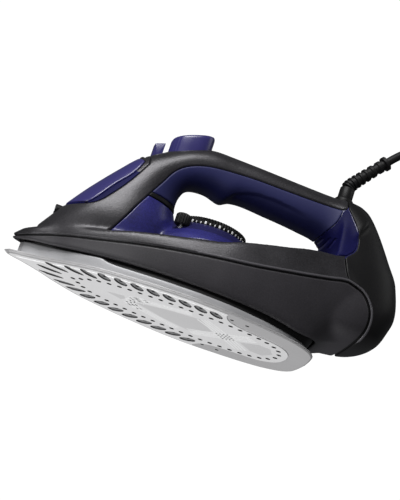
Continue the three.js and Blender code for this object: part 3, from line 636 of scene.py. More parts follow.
def casing_skin():
    """One blended surface over all the casing's volumes, as triangles."""
    points, faces = joined(*[stack(rings()) for rings in (hull_rings, heel_rings, handle_rings, mound_rings)])
    mesh = bpy.data.meshes.new("skin")
    mesh.from_pydata((points * MM).tolist(), [], faces)
    skin = placed("skin", mesh)
    remesh = skin.modifiers.new("remesh", "REMESH")
    remesh.mode = "VOXEL"
    remesh.voxel_size = VOXEL * MM
    blend = skin.modifiers.new("blend", "SMOOTH")
    blend.factor = 0.5
    blend.iterations = SMOOTHING
    result = skin.evaluated_get(bpy.context.evaluated_depsgraph_get()).to_mesh()
    result.calc_loop_triangles()
    points = np.empty(len(result.vertices) * 3)
    result.vertices.foreach_get("co", points)
    faces = np.empty(len(result.loop_triangles) * 3, int)
    result.loop_triangles.foreach_get("vertices", faces)
    points, faces = points.reshape(-1, 3) / MM, faces.reshape(-1, 3)
    bpy.data.objects.remove(skin)
    lean = (REST_HIGH[0] - REST_LOW[0]) / (REST_HIGH[1] - REST_LOW[1])
    points[:, 0] = np.maximum(points[:, 0], REST_LOW[0] + lean * (points[:, 2] - REST_LOW[1]))
    normals = vertex_normals(points, faces)
    ends = np.unique(np.sort(face_edges(faces), axis=1), axis=0)
    for _ in range(NORMAL_SMOOTHING):
        spread = normals.copy()
        for k in range(3):
            spread[:, k] += np.bincount(ends[:, 0], normals[ends[:, 1], k], len(points))
            spread[:, k] += np.bincount(ends[:, 1], normals[ends[:, 0], k], len(points))
        normals = spread / np.linalg.norm(spread, axis=1)[:, None]
    return np.hstack([points, normals]), faces


# ------------------------ side-view regions of the casing
DECK_RISE = 0.9                # the tank's window starts this far above the deck
COVER_SEAM = smooth_line([
    [85.6, 36], [77.8, 51], [71.4, 65], [62.6, 82], [57.6, 91.5], [54, 99], [49.8, 104.9], [43.6, 109.9],
    [34.4, 114.2], [21.3, 117.4], [-5, 120.2], [-27, 120.9], [-54, 121.6], [-81, 122.7]])
HEEL_SEAM = smooth_line([
    [-98, 63], [-110, 60.9], [-118, 54], [-122.5, 45], [-123, 35.3], [-120.5, 26], [-116.5, 17.6],
    [-111.5, 11.3], [-108, 4]])
DOOR_EDGE = smooth_line([
    [121.5, 52.2], [113.5, 53.4], [106.5, 55.5], [100.6, 63], [92.2, 75.7], [83, 87.6], [78.2, 96.5]])
BEZEL_EDGE = smooth_line([
    [121.5, 50.6], [112.5, 52.2], [104, 55.2], [98, 60], [92.6, 67.2], [86, 76.6], [79.6, 87.6],
    [75.2, 96.5]])
REAR_FRONT = smooth_line([[-82, 123.2], [-79.4, 111.6], [-74.5, 102.6], [-70, 95]])
REAR_BACK = smooth_line([[-91.5, 84], [-97, 91], [-98.2, 97.5], [-97, 105], [-92, 114.5], [-84.8, 125.5]])


def run(curve, start, end, count, rise=0.0):
    """Points along a curve of x."""
    x = np.linspace(start, end, count)
    return columns([x, curve(x) + rise])


PARTING_LINE = run(parting, 154, -98, 90)
DECK_FRONT = run(deck, -26, 87, 50, DECK_RISE)
COLLAR_LOW = [[65.9, 75.6], [41.5, 74.8], [36, 73.5], [34, 73], [-26, 73]]
cover_seam = COVER_SEAM[COVER_SEAM[:, 1] > 37]
tank_seam = cover_seam[cover_seam[:, 1] < 75]
handle_seam = COVER_SEAM[COVER_SEAM[:, 1] > 80]

# The outline of each piece as seen from the side, in [x, z].
REGION = {
    "lower": [*PARTING_LINE, *HEEL_SEAM[1:], [154, 4]],
    "tank": [*DECK_FRONT, *tank_seam, *COLLAR_LOW],
    "collar": [[65.9, 75.6], [41.5, 74.8], [38, 76], [36, 79], [64.1, 79.2]],
    "grip": [[64.1, 79.2], *handle_seam, *REAR_FRONT[1:], [-60, 92], [20, 90], [36, 79]],
    "rear": [*REAR_FRONT, [-70, 79.4], [-81, 81], *REAR_BACK],
    "heel": [*REAR_BACK[::-1], [-90.5, 82], [-94, 71], *HEEL_SEAM, [-162, 4], [-162, 150], [-84.8, 150]],
    "door": [*DOOR_EDGE, [76, 103.4], [84, 111.5], [95, 120], [130, 60]],
    "bezel": [*BEZEL_EDGE, [72.9, 101], [72.9, 120], [90, 124], [134, 60]],
    "upper": [*PARTING_LINE, [-94, 71], [-90.5, 82], [-91.5, 84], [-81, 81], [-70, 79.4], [-66, 90],
              [-27, 90], *DECK_FRONT, *cover_seam, [-84.8, 125.5], [-84.8, 150], [100, 150], [160, 70]],
}


def side_region(name):
    """A function that gives how far inside a region points lie, as seen from the side."""
    distance = polygon_distance(REGION[name])
    return lambda p: distance(p[:, 0], p[:, 2])


def within(p, outline, low, high):
    """How far inside a plan outline points lie, between two heights; far outside elsewhere."""
    distance = polygon_distance(outline)(p[:, 0], p[:, 1])
    return np.where((p[:, 2] > low) & (p[:, 2] < high), distance, -99)


# The pair of buttons: middle and half length along x, half width, and heights of its bottom and top.
BUTTON = {"middle": 43.8, "reach": 15.8, "half": 13.5, "bottom": 118.0, "front_top": 133.8, "back_top": 146.0}
STEM_BOTTOM = 103.0            # of the buttons' stems and the lever's tab
LEVER_X = (63.8, 71.3)         # back and front of the lever's tab
SLEEVE_X, SLEEVE_HOLE = -84.5, 8.4
# The door's hinge: its place, its barrel's radius, how far from the middle its knuckle and ears reach, and
# the radius and half width of the room cut out for it.
HINGE = {"x": 77.1, "z": 105.7, "barrel": 2.4, "knuckle": 4.5, "ear": 8.2, "room": 4.6, "half": 9}


def button_outline(angle, margin=0.0):
    """The plan of the pair of buttons, at the angles given."""
    a, b = superellipse(angle, 2.5)
    return columns([BUTTON["middle"] + (BUTTON["reach"] + margin) * a, (BUTTON["half"] + margin) * b])


def circle(x, y, radius):
    angle = around(40)
    return columns([x + radius * np.cos(angle), y + radius * np.sin(angle)])


SLEEVE_CIRCLE = circle(SLEEVE_X, 0, SLEEVE_HOLE)


def sole_outline(distance, count=120, half_width=sole_half, sharpness=2.4):
    """A plan outline shaped like the sole, drawn in at its sides and heel and by more at its sharp nose."""
    nose, back = SOLE["nose"] - sharpness * distance, SOLE["heel"] + distance
    share = (1 - np.cos(np.linspace(0, np.pi, count))) / 2
    half = half_width(SOLE["heel"] + (SOLE["nose"] - SOLE["heel"]) * share) * (1 - distance / SOLE["half"])
    side = columns([back + (nose - back) * share, half])
    return np.vstack([side, side[-2:0:-1] * [1, -1]])


def foot_half(x):
    """Half the width of the opening under the casing."""
    return np.maximum(np.minimum(sole_half(x), foot_share(x) * widest(x) - 1.8), 0.5)


def foot_outline(distance, count=120):
    """That opening's outline, which follows the sole but stays inside the casing's foot."""
    return sole_outline(distance, count, foot_half)


def without(value, *others):
    """Where value is inside and none of the others is."""
    return np.minimum.reduce([value, *[-other for other in others]])


def upper_value(p):
    """The upper shell, open for the door's frame, the buttons, the lever and the cord's sleeve."""
    back, front = LEVER_X[0] - 1.4, LEVER_X[1] + 1.8
    slot = rounded_outline([[back, -9], [front, -9], [front, 9], [back, 9]], 2)
    return without(side_region("upper")(p), side_region("bezel")(p),
                   within(p, button_outline(around(96), 0.5), 108, 150), within(p, slot, 100, 140),
                   within(p, SLEEVE_CIRCLE, 120, 150))


def lower_value(p):
    """The lower shell, open at the foot."""
    return without(side_region("lower")(p), within(p, foot_outline(2.5), 0, 19))


def heel_value(p):
    """The heel's cover, open for the cord's sleeve."""
    return without(side_region("heel")(p), within(p, SLEEVE_CIRCLE, 120, 150))


def bezel_value(p):
    """The frame round the door, cut away where the door's end swings round its hinge."""
    from_pin = np.hypot(p[:, 0] - HINGE["x"], p[:, 2] - HINGE["z"])
    room = np.maximum(from_pin - HINGE["room"], np.abs(p[:, 1]) - HINGE["half"])
    return np.minimum(without(side_region("bezel")(p), side_region("door")(p)), room)


def window_value(p):
    """The rear window, with three vent slits."""
    slits = [polygon_distance([[x, 93], [x + 0.7, 93], [x - 0.6, 99], [x - 1.3, 99]])
             for x in (-74.5, -78.0, -81.5)]
    return without(side_region("rear")(p), *[slit(p[:, 0], p[:, 2]) for slit in slits])


# The crease along the grip's side, closed below the handle.
CREASE = polygon_distance([
    [10, 98], [8.5, 100], [6.2, 102.8], [0.8, 106.7], [-6.9, 109.7], [-15.6, 111.6], [-27.7, 112.2],
    [-40.9, 111.6], [-60, 109.5], [-60, 80], [10, 80]])


def grip_relief(p):
    """The grip's side falls back under its crease and comes out again lower down."""
    share = share_of(CREASE(p[:, 0], p[:, 2]) / 9)
    depth = np.minimum(share / 0.3, (1 - share) / 0.7)
    return -1.3 * depth * share_of((10 - p[:, 0]) / 9) * share_of((p[:, 0] + 58) / 20)


def bead_value(p):
    """A raised line above the lower shell's edge, which fades out towards the nose and low on the heel."""
    outside = -side_region("lower")(p)
    return np.minimum.reduce([1.05 - np.abs(outside - 1.5), (25 - p[:, 0]) / 12, (p[:, 2] - 24) / 4])


def liner_value(p):
    """The strip behind the groove round the lower shell."""
    return np.minimum(2.6 - np.abs(side_region("lower")(p)), (p[:, 2] - 15) / 2)


def window_liner_value(p):
    """A layer behind the rear window and its seams."""
    return side_region("rear")(p) + 2


# Each piece cut from the skin: finish, where it lies, how far it stands out, the groove round it, how wide
# and deep its edges are rounded, and its wall where that isn't the usual one.
CASING = {
    "lower_shell": ("charcoal_plastic", lower_value, -0.1, 1.2, 1.0, 0.8),
    "upper_shell": ("gunmetal_plastic", upper_value, 0, 0, 1.5, 0.8),
    "soft_grip": ("navy_grip", side_region("grip"), grip_relief, 0.1, 0.9, 0.6),
    "grip_collar": ("black_plastic", side_region("collar"), 0.1, 0, 0.8, 0.5),
    "water_tank": ("blue_clear", side_region("tank"), -0.1, 0.3, 0.8, 0.5),
    "rear_window": ("blue_clear", window_value, -0.2, 0.1, 0.8, 0.5),
    "heel_cover": ("black_plastic", heel_value, 0, 0.4, 0.9, 0.6),
    "filler_bezel": ("blue_clear", bezel_value, -0.5, 0, 0.5, 0.3, 1.0),
    "filler_door": ("blue_gloss", side_region("door"), 0.2, 0, 0.9, 0.6, 1.0),
}
# Layers that the CAD has no node for: the line along the shell's edge, and what shows in the grooves.
EXTRA = {
    "parting_bead": ("bead", bead_value, 0.12, 0, 0.6, 0.35),
    "parting_liner": ("black_plastic", liner_value, -1.5, 0, 0.3, 0),
    "window_liner": ("blue_clear", window_liner_value, -1.0, 0, 0.3, 0),
}


def near_dial(c):
    """The part of the tank that the round foot under the dial takes up."""
    return np.hypot(c[:, 0] - DIAL_X, c[:, 1]) + 0.6 * (c[:, 2] - 50) < 44


# Faces that take another finish, chosen by their centres. A piece's own finish gives its slot.
SHADED = {
    "filler_bezel": [("window_blue", lambda c: c[:, 0] > 0),
                     ("gunmetal_plastic", lambda c: (c[:, 0] < 84) & (c[:, 2] > 92))],
    "rear_window": [("window_blue", lambda c: c[:, 0] < 0)],
    "water_tank": [("skirt_blue", near_dial)],
}


def add_casing():
    skin = casing_skin()
    for name, (finish, value, *shape) in (EXTRA | CASING).items():
        points, faces, normals = cut_piece(skin, value, *shape)
        body = "door" if name == "filler_door" else "casing"
        object_of(f"visual_{name}" if name in CASING else name, points, faces, finish, body, sharp=60,
                  normals=normals, also=SHADED.get(name, ()))


def add_hinge():
    """The door's knuckle between the two ears of its frame."""
    barrel = circle(HINGE["x"], HINGE["z"], HINGE["barrel"])
    web = [[77.1, 107.4], [78.5, 104.1], [83, 99], [85.2, 99.3]]
    knuckle = [prism(outline, -HINGE["knuckle"], HINGE["knuckle"], "y", 0.2) for outline in (barrel, web)]
    object_of("door_knuckle", *joined(*knuckle), "blue_gloss", "door")
    near, far = HINGE["knuckle"] + GAP, HINGE["ear"]
    ears = [prism(barrel, near, far, "y", 0.2), prism(barrel, -far, -near, "y", 0.2)]
    object_of("bezel_ears", *joined(*ears), "black_plastic", "casing")


# ------------------------ soleplate
SOLE_PITCH = 0.85              # spacing of the face's points
SOLE_RIM = 1.3                 # how far in the edge is rounded
FACE_LIFT = 0.04               # leaves room for the print
HOLE_RADIUS, LEAF_HOLE_RADIUS = 1.75, 1.3
HOLE_DEPTH = 3.0
HOLE_LIP = 0.25                # width of the slope into a hole
RECESS = 1.1                   # depth of the slits and leaves
RECESS_SLOPE = 0.25            # widths of the slopes into them and up to the raised band
BAND_SLOPE = 0.35
BAND_RISE = 0.7
STEP = 0.3                     # width of the steps at the inner edges of the lip and the margin
LIP_WIDTH, MARGIN_WIDTH = 3.2, 7.5


def leaf_value(x, y, a, b, width):
    """About how far inside a long oval from a to b points lie."""
    a, b = np.array(a, float), np.array(b, float)
    half = np.linalg.norm(b - a) / 2
    along = (b - a) / (2 * half)
    u = (x - (a + b)[0] / 2) * along[0] + (y - (a + b)[1] / 2) * along[1]
    v = -(x - (a + b)[0] / 2) * along[1] + (y - (a + b)[1] / 2) * along[0]
    return (1 - np.hypot(u / half, 2 * v / width)) * width / 2


LEAF_PITCH = 12.35
leaf_y = through([
    [-33, 45.8], [-20.7, 46], [-8.3, 45], [4.3, 44.4], [17, 44], [29.4, 42.6], [41.7, 40.6], [54, 38.2],
    [66.2, 35.4], [78, 32]])
# The slits at the nose: outer end, inner end, width. Each is mirrored.
SLITS = [
    [(125.9, 0), (105, 0), 5.2], [(121.8, 13.1), (102, 9.8), 5.4], [(108.1, 22.5), (91.3, 17), 6],
    [(96.5, 29.8), (81.7, 21.5), 6.8]]
# The edge of the raised face round the rear of the hole loop.
FACE_EDGE = smooth_line([
    [-15, 51.5], [-18, 44], [-24, 38.2], [-34, 34.2], [-48, 31.4], [-62, 28.4], [-71.5, 21.5], [-76.5, 12],
    [-78, 0]], 6)
hole_half = through([
    [-72, 0], [-70.5, 9], [-66, 17], [-58, 23.5], [-42, 29], [-10, 32.2], [30, 30], [58, 25], [79, 17.5],
    [89, 9], [96.4, 0]])


def steam_holes():
    """Places along the leaf-shaped loop, 8 mm apart, on both sides."""
    spots, last = [], None
    for x in np.arange(96.4, -72.01, -0.25):
        y = float(hole_half(x))
        if last and np.hypot(x - last[0], y - last[1]) < 8:
            continue
        last = (x, y)
        spots += [(x, y), (x, -y)] if y > 2 else [(x, 0.0)]
    return spots


def leaf_spots():
    return [(78 - LEAF_PITCH * i, float(leaf_y(78 - LEAF_PITCH * i))) for i in range(10)]


def hole_value(x, y):
    value = np.full(len(x), -99.0)
    for hx, hy in steam_holes():
        value = np.maximum(value, HOLE_RADIUS - np.hypot(x - hx, y - hy))
    for lx, ly in leaf_spots():
        value = np.maximum(value, LEAF_HOLE_RADIUS - np.hypot(x - lx, np.abs(y) - ly + 0.6))
    return value


def recess_value(x, y):
    value = np.full(len(x), -99.0)
    for a, b, width in SLITS:
        value = np.maximum(value, leaf_value(x, np.abs(y), a, b, width))
    for lx, ly in leaf_spots()[:8]:
        value = np.maximum(value, leaf_value(x, np.abs(y), (lx + 5.2, ly + 5.2), (lx - 5.2, ly - 5.2), 8.2))
    return value


def band_outline():
    """The lower field behind the raised face."""
    ring = np.vstack([FACE_EDGE, FACE_EDGE[-2::-1] * [1, -1]])
    return np.vstack([ring, [[-15, -70], [-110, -70], [-110, 70], [-15, 70]]])


def in_plan(value):
    """A function of x and y made into one of points."""
    return lambda p: value(p[:, 0], p[:, 1])


edge_field = in_plan(polygon_distance(sole_outline(0.1)))
band_field = in_plan(polygon_distance(band_outline()))
recess_field = in_plan(recess_value)
hole_field = in_plan(hole_value)
# The face's fields, and the levels of each that its mesh has a line at.
SCORED = [
    (edge_field, (0.2, 0.5, 0.9, SOLE_RIM, LIP_WIDTH - STEP, LIP_WIDTH, MARGIN_WIDTH - STEP, MARGIN_WIDTH)),
    (band_field, (0, BAND_SLOPE)),
    (recess_field, (0, RECESS_SLOPE, 1)),
    (hole_field, (-HOLE_LIP, 0)),
]


def sole_grid():
    """A level sheet of triangles cut to the sole's outline."""
    xs = np.arange(SOLE["heel"] - 2, SOLE["nose"] + 2, SOLE_PITCH)
    ys = np.arange(-SOLE["half"] - 2, SOLE["half"] + 2, SOLE_PITCH)
    gx, gy = np.meshgrid(xs, ys, indexing="ij")
    points = columns([gx.ravel(), gy.ravel(), np.zeros(gx.size)])
    row = len(ys)
    points[:, 1] += np.where(np.arange(len(points)) // row % 2, SOLE_PITCH / 2, 0)
    corner = (np.arange(len(xs) - 1)[:, None] * row + np.arange(row - 1)).ravel()
    faces = np.vstack([columns([corner, corner + 1, corner + row]),
                       columns([corner + 1, corner + row + 1, corner + row])])
    points, faces, values = scored(points, faces, edge_field(points), 0)
    return compact(points, faces[values[faces].mean(axis=1) > 0])


def sole_height(points):
    """The face's height at each point: its rounded rim, steps, band, recesses and holes."""
    inwards, band = edge_field(points), band_field(points)
    lift = FACE_LIFT + 0.9 * share_of(1 - inwards / SOLE_RIM) ** 2
    for height, width in ((0.35, LIP_WIDTH), (0.25, MARGIN_WIDTH)):
        lift += height * share_of((width - inwards) / STEP)
    lift = np.where(band > 0, np.maximum(lift, BAND_RISE * share_of(band / BAND_SLOPE)), lift)
    lift += RECESS * share_of(recess_field(points) / RECESS_SLOPE)
    return np.where(hole_field(points) >= 0, HOLE_DEPTH, lift)


def add_soleplate():
    points, faces = sole_grid()
    for field, levels in SCORED:
        for level in levels:
            points, faces, _ = scored(points, faces, field(points), level)
    points[:, 2] = sole_height(points)
    faces = faces[:, ::-1]
    normals = vertex_normals(points, faces)
    if normals[np.argmin(points[:, 2]), 2] > 0:
        faces, normals = faces[:, ::-1], -normals
    face = walled(points, faces, normals, 1.0)
    lip = hoop([level_ring(sole_outline(d, BAND_STEPS), z) for d, z in LIP])
    object_of("visual_soleplate", *joined(face, lip), "sole", "casing", sharp=35, also=[
        # painted shade: the sole's rim and its recessed rear band take darker copies of its finish
        ("sole_rim_painted_shade", lambda c: edge_field(c) < LIP_WIDTH),
        ("sole_band_painted_shade", lambda c: (band_field(c) > 0) & (edge_field(c) > SOLE_RIM)),
        # painted shade: the floors and walls of the slits and leaves, and the steam holes, take darker copies
        # of the sole's finish
        ("sole_recess_painted_shade", lambda c: recess_field(c) > RECESS_SLOPE),
        ("recess_wall_painted_shade", lambda c: np.abs(recess_field(c) - RECESS_SLOPE / 2) < RECESS_SLOPE / 2),
        ("steam_hole_painted_shade", lambda c: hole_field(c) > 0.01 - HOLE_LIP)])


BAND_STEPS = 240               # points along each side of the bands round the sole
SKIRT_TOP = 15.5
# Rows of (distance in from the sole's edge, height) round the lip's section.
LIP = [(0.3, 1.3), (0.1, 1.6), (0.1, 2.2), (0.3, 2.65), (0.9, 2.85), (8, 2.9), (8, 2.4), (1.6, 2.3)]
# The height of the casting's top.
wall_top = through([
    [-94, 7.2], [-67.5, 7.5], [-40, 8.45], [-6, 9], [56, 9.3], [72, 9.6], [80, 10.6], [85, 12.3],
    [150, 12.5]])


def wall_ring(distance, above):
    """A ring some way in from the sole's edge, at a level above the casting's top."""
    return level_ring(sole_outline(distance, BAND_STEPS, sharpness=1.6), lambda x: wall_top(x) + above)


def foot_ring(distance):
    return level_ring(foot_outline(distance, BAND_STEPS), SKIRT_TOP)


def add_casting():
    """The rim of the heater casting between the lip and the casing."""
    low, step, inner = [level_ring(sole_outline(d, BAND_STEPS, sharpness=1.6), z)
                        for d, z in ((6, 2.95), (6, 5), (10.5, 2.95))]
    rings = [low, step, wall_ring(6.05, -1.4), wall_ring(6.3, -0.5), wall_ring(7, 0), wall_ring(10.5, 0),
             inner]
    object_of("visual_sole_casting", *hoop(rings), "casting", "casing", sharp=50)


def add_heat_skirt():
    """The black band between the casting and the casing."""
    rings = [wall_ring(6.8, 0.1), foot_ring(3), foot_ring(6), wall_ring(10, 0.1)]
    object_of("visual_heat_skirt", *hoop(rings), "black_plastic", "casing", sharp=50)


def sideways(path):
    """The unit direction across a path in plan, at each of its points."""
    along = np.gradient(path, axis=0)
    return columns([-along[:, 1], along[:, 0]]) / np.linalg.norm(along, axis=1)[:, None]


def ribbon(path, width, low, high):
    """A flat strip of even width along a path in plan."""
    side = sideways(path) * width / 2
    corners = [(path + side, low), (path - side, low), (path - side, high), (path + side, high)]
    return stack(np.stack([level_ring(edge, z) for edge, z in corners], axis=1))


# Panels of the printed pattern, and the middle lines, counts and spacings of its stripes.
PRINT_PANELS = [[[46, 0], [20, 13], [-3, 20], [-17, 0], [-3, -20], [20, -13]],
                [[-40, 0], [-52, 12], [-62, 12], [-67, 0], [-62, -12], [-52, -12]],
                [[70, 0], [56, 6], [54, 0], [56, -6]]]
PRINT_STRIPES = [([[-4, 21], [-14, 12.5], [-28, 0], [-40, -12], [-46, -19]], 4, 3.2),
                 ([[52, 6], [30, 15], [6, 25]], 3, 3.0), ([[50, -1], [47, 7], [40, 14]], 3, 3.2)]
STRIPE_WIDTH = 1.5


def add_print():
    panels = [prism(np.array(p, float), 0.02, FACE_LIFT, "z", 0.002) for p in PRINT_PANELS]
    object_of("sole_print_panels", *joined(*panels), "sole_shade", "casing", smooth=False)
    stripes = []
    for middle, count, pitch in PRINT_STRIPES:
        line = smooth_line(middle, 6)
        for k in range(count):
            path = line + sideways(line) * pitch * (k - (count - 1) / 2)
            stripes += [ribbon(path * [1, side], STRIPE_WIDTH, 0.005, FACE_LIFT) for side in (1, -1)]
    object_of("sole_print_stripes", *joined(*stripes), "sole_print", "casing", smooth=False)


# ------------------------ controls
def add_buttons():
    """The burst button on the left and the spray button on the right, ridged at the front."""
    middle, reach, base = BUTTON["middle"], BUTTON["reach"], BUTTON["bottom"]
    slope = (BUTTON["back_top"] - BUTTON["front_top"]) / (2 * reach)
    for side, name in ((1, "burst"), (-1, "spray")):
        outline = button_outline(np.linspace(0, np.pi, 130) * side)
        outline[:, 1] = side * np.maximum(side * outline[:, 1], GAP)
        ridged = share_of((outline[:, 0] - 54.5) / 1.5)
        ripple = 0.25 * ridged * (np.cos(outline[:, 1] * 2 * np.pi / 2.4) - 1)
        rings = []
        for share, drawn in ((0, 0), (0.5, 0), (0.86, 0), (0.93, 0.25), (0.975, 0.8), (1, 2.0)):
            x = middle + (outline[:, 0] - middle) * (1 - drawn / reach) + ripple
            y = side * np.maximum(GAP, side * outline[:, 1] * (1 - drawn / BUTTON["half"]))
            top = BUTTON["front_top"] + (middle + reach - x) * slope
            rings.append(columns([x, y, base + (top - base) * share]))
        stem = spin([(2, STEM_BOTTOM), (2, base + 1)], 24, (51, 9.2 * side))
        object_of(f"visual_{name}_button", *joined(stack(rings), stem), "blue_gloss", name)


def add_lever():
    """The steam lever's tab on an arm with a round boss."""
    back, front = LEVER_X
    tab = rounded_outline([[back, STEM_BOTTOM], [back, 127], [front, 124.2], [front, STEM_BOTTOM]], 0.6)
    arm = rounded_outline([[54, 102], [64.5, 102], [64.5, 105], [54, 105]], 0.5)
    boss = spin([(3.2, 101), (3.6, 101.4), (3.6, 107)], 32, (57, 0))
    parts = joined(prism(tab, -4, 4, "y", 0.8), prism(arm, -3, 3, "y", 0.4), boss)
    object_of("visual_steam_lever", *parts, "blue_gloss", "lever")


DIAL = {"radius": 27.0, "bottom": 70.0, "top": 75.6}
DIAL_MARKS = 45                # every third one is taller


def add_dial():
    """The knurled dial, with a row of marks round its edge."""
    def knurl(angle, radius, height):
        return 0.35 * (np.cos(72 * angle) - 1) if radius > 25.5 and height > 72.2 else 0

    low, high, r = DIAL["bottom"], DIAL["top"], DIAL["radius"]
    profile = [(r - 2.2, low), (r - 0.8, low + 0.2), (r - 0.2, low + 0.8), (r - 0.1, low + 2), (r, low + 2.4),
               (r, high - 0.5), (r - 0.5, high), (r - 2.6, high), (r - 3.4, high - 1.2), (8, high - 1.2),
               (7.4, high - 0.9), (0.5, high - 0.8)]
    object_of("visual_dial", *spin(profile, 432, (DIAL_X, 0), knurl), "black_plastic", "dial",
              replaces="temperature_dial", sharp=30)
    marks = []
    for i in range(DIAL_MARKS):
        angle = 2 * np.pi * i / DIAL_MARKS
        tall = 1.5 if i % 3 else 2.2
        wide = 0.4 if i % 3 else 0.75
        outline = rounded_outline([[-wide, 0], [wide, 0], [wide, tall], [-wide, tall]], 0.3, 3)
        p, f = prism(outline + [0, low + 0.35], r - 0.35, r + 0.02, "y", 0.01)
        turn = np.array([[np.cos(angle), -np.sin(angle)], [np.sin(angle), np.cos(angle)]])
        p[:, :2] = p[:, :2] @ turn.T + [DIAL_X, 0]
        marks.append((p, f))
    object_of("dial_marks", *joined(*marks), "white_print", "dial")


KNOB_AT = (35, 24)
KNOB_TOP = 71.2


def add_knob():
    """The self-clean knob with its pointer."""
    def grip(angle, radius, height):
        return 0.25 * (np.cos(18 * angle) - 1) if radius > 5.5 else 0

    profile = [(5.4, 62.6), (6, 63.2), (6, 69.8), (5.7, 70.6), (4.9, KNOB_TOP), (0.4, KNOB_TOP)]
    object_of("visual_self_clean_knob", *spin(profile, 144, KNOB_AT, grip), "black_plastic", "clean")
    bar = rounded_outline([[-0.4, 0.5], [0.4, 0.5], [0.4, 5.6], [-0.4, 5.6]], 0.3, 3) + KNOB_AT
    mark = prism(bar, KNOB_TOP - 0.3, KNOB_TOP + 0.1, "z", 0.05)
    object_of("self_clean_mark", *mark, "white_print", "clean")


NOZZLE = {"x": 119.5, "z": 46.2, "face": 126.2, "face_radius": 3.0}


def add_nozzle():
    """The spray nozzle, with a milky disc in its ring."""
    def is_face(c):
        return (c[:, 0] > NOZZLE["face"]) & (np.hypot(c[:, 1], c[:, 2] - NOZZLE["z"]) < NOZZLE["face_radius"])

    profile = [(3.9, 0), (3.9, 5), (3.8, 7.3), (3.4, 7.7), (3.1, 7.7), (2.9, 7.5), (2.7, 6.9), (1.2, 6.9),
               (0.8, 6.4), (0.8, 5), (0.2, 4.8)]
    body = lying(spin(profile, 48), NOZZLE["x"], 0, NOZZLE["z"])
    object_of("visual_spray_nozzle", *body, "black_plastic", "casing", also=[("clear_plastic", is_face)])


# ------------------------ lead, guard and plug
# The lead's route from the guard's end down to the coil, in metres.
CORD_ROUTE = [
    (-0.1084, 0, 0.1817), (-0.113, 0, 0.1874), (-0.120, 0, 0.1944), (-0.1295, 0, 0.2001),
    (-0.141, 0, 0.2029), (-0.153, 0, 0.2016), (-0.164, 0, 0.196), (-0.1735, 0, 0.1862),
    (-0.1815, 0, 0.1734), (-0.1884, -0.0004, 0.1584), (-0.1946, -0.001, 0.142), (-0.2006, -0.002, 0.125),
    (-0.2066, -0.0032, 0.108), (-0.213, -0.0048, 0.091), (-0.220, -0.007, 0.0744),
    (-0.228, -0.010, 0.0582), (-0.237, -0.014, 0.043), (-0.247, -0.019, 0.0292), (-0.258, -0.025, 0.0178),
    (-0.270, -0.0314, 0.0094), (-0.283, -0.037, 0.0047), (-0.296, -0.0406, 0.0035),
    (-0.308, -0.0414, 0.0034)]
CORD_TAIL = [
    (-0.2965, 0.042, 0.0135), (-0.2865, 0.042, 0.0137), (-0.2764, 0.042, 0.0142), (-0.2715, 0.042, 0.0156),
    (-0.267, 0.042, 0.018), (-0.262, 0.042, 0.0185)]
CORD_DIAMETER = 0.0065
COIL_AT = (-0.308, 0.006)
COIL_OUTER = 0.0405
COIL_TURNS = 5.5
GUARD_RINGS = 8.5
GUARD_END = 5.9                # radius of the plain collars at its ends
# The guard's middle line, in millimetres.
GUARD_PATH = [
    [SLEEVE_X, 0, 149.4], [-86.2, 0, 153.2], [-91.4, 0, 160.2], [-98.6, 0, 169.4], [-108.2, 0, 181.4]]


def coil_points(per_turn=20):
    """Turns that lie beside and on each other, wound clockwise from the side away from the plug."""
    radius = through([[0, 0.0474], [0.25, COIL_OUTER], [1.0, COIL_OUTER], [1.2, 0.0338], [2.9, 0.0338],
                      [3.1, COIL_OUTER], [4.9, COIL_OUTER], [5.2, 0.036], [5.5, 0.036]])
    height = through([[0, 0.0034], [1.9, 0.0034], [2.1, 0.0098], [3.9, 0.0098], [4.15, 0.0163], [5.2, 0.0163],
                      [5.5, 0.0135]])
    points = []
    for i in range(1, int(COIL_TURNS * per_turn) + 1):
        turn = i / per_turn
        angle = -np.pi / 2 - 2 * np.pi * turn
        r = float(radius(turn))
        points.append((COIL_AT[0] + r * np.cos(angle), COIL_AT[1] + r * np.sin(angle), float(height(turn))))
    return points


def add_cord():
    points = [Vector(p) for p in CORD_ROUTE + coil_points() + CORD_TAIL]
    data = bpy.data.curves.new("lead", "CURVE")
    data.dimensions = "3D"
    data.bevel_depth = CORD_DIAMETER / 2
    data.bevel_resolution = 6
    data.resolution_u = 6
    data.use_fill_caps = True
    spline = data.splines.new("BEZIER")
    spline.bezier_points.add(len(points) - 1)
    for knot, place in zip(spline.bezier_points, points):
        knot.co = place
        knot.handle_left_type = knot.handle_right_type = "AUTO"
    data.materials.append(FINISH["cord_rubber"])
    lead = placed("lead", data)
    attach(lead, "cord_set")
    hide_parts("cord", "cord_coil", "cord_tail")


def add_guard():
    """The ribbed strain relief: a tapered core with rings that leave slots between them."""
    path = smooth_line(GUARD_PATH, 30)
    share = np.linspace(0, 1, len(path))
    wave = (share * GUARD_RINGS) % 1.0
    slot = share_of((np.abs(wave - 0.5) - 0.22) / 0.06)
    radii = np.where(np.abs(share - 0.5) > 0.45, GUARD_END, GUARD_END - share - slot)
    object_of("visual_cord_guard", *sweep(path, radii, 40), "cord_rubber", "cord_set")


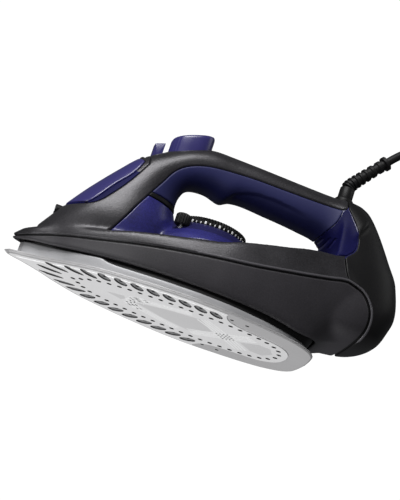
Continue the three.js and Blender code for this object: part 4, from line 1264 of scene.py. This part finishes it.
def add_sleeve():
    """The turning sleeve at the back of the handle, which carries the guard."""
    profile = [(7.0, 129.4), (7.6, 130), (7.6, 137), (7.4, 138.6), (6, 140), (5.9, 148.2), (5.4, 149),
               (0.4, 149)]
    object_of("visual_cord_sleeve", *spin(profile, 64, (SLEEVE_X, 0)), "black_plastic", "cord_set")


# The plug: its rear end and its face along x, its middle in y and z, and its pins' distance from that.
PLUG = {"tail": -262.0, "y": 42.0, "z": 18.5, "face": -206.0, "pin_y": 9.5}


def add_plug():
    """The plug with its ridged grip and two pins."""
    def grip(angle, radius, height):
        return 0.5 * (np.cos(24 * angle) - 1) if 32 < height < 50 else 0

    profile = [(3.8, 0), (4.8, 0.5), (5.2, 5), (6.2, 14), (8, 20), (11, 22.5), (15.5, 26), (17.8, 30),
               (18.5, 34), (18.5, 35), (17.9, 36), (17.9, 46), (18.5, 47), (18.5, 54.4), (17.9, 55.6),
               (16.5, 56), (0.5, 56)]
    body = lying(spin(profile, 192, ripple=grip), PLUG["tail"], PLUG["y"], PLUG["z"])
    object_of("visual_plug", *body, "cord_rubber", "cord_set", replaces="plug_body")
    pin = spin([(2.4, 0.3), (2.4, 16.5), (2.0, 18.2), (1.2, 19), (0.2, 19)], 32)
    for side, name in ((1, "left"), (-1, "right")):
        body = lying(pin, PLUG["face"], PLUG["y"] + PLUG["pin_y"] * side, PLUG["z"])
        object_of(f"visual_pin_{name}", *body, "brass", "cord_set", replaces=f"plug_pin_{name}")


# ------------------------ CAD pieces that keep their shape
def finish_cad_nodes():
    """Gives every CAD node the finish of its slot."""
    for entry in frame["record"]["subparts"]:
        node = frame["nodes"][entry["node"]]
        node.data.materials.clear()
        node.data.materials.append(FINISH[entry["material_slot"]])


add_camera()
add_world()
add_lights()
add_floor()
finish_cad_nodes()
add_guard()
add_sleeve()
add_plug()
add_cord()
add_casing()
add_hinge()
add_soleplate()
add_casting()
add_heat_skirt()
add_print()
add_buttons()
add_lever()
add_dial()
add_knob()
add_nozzle()
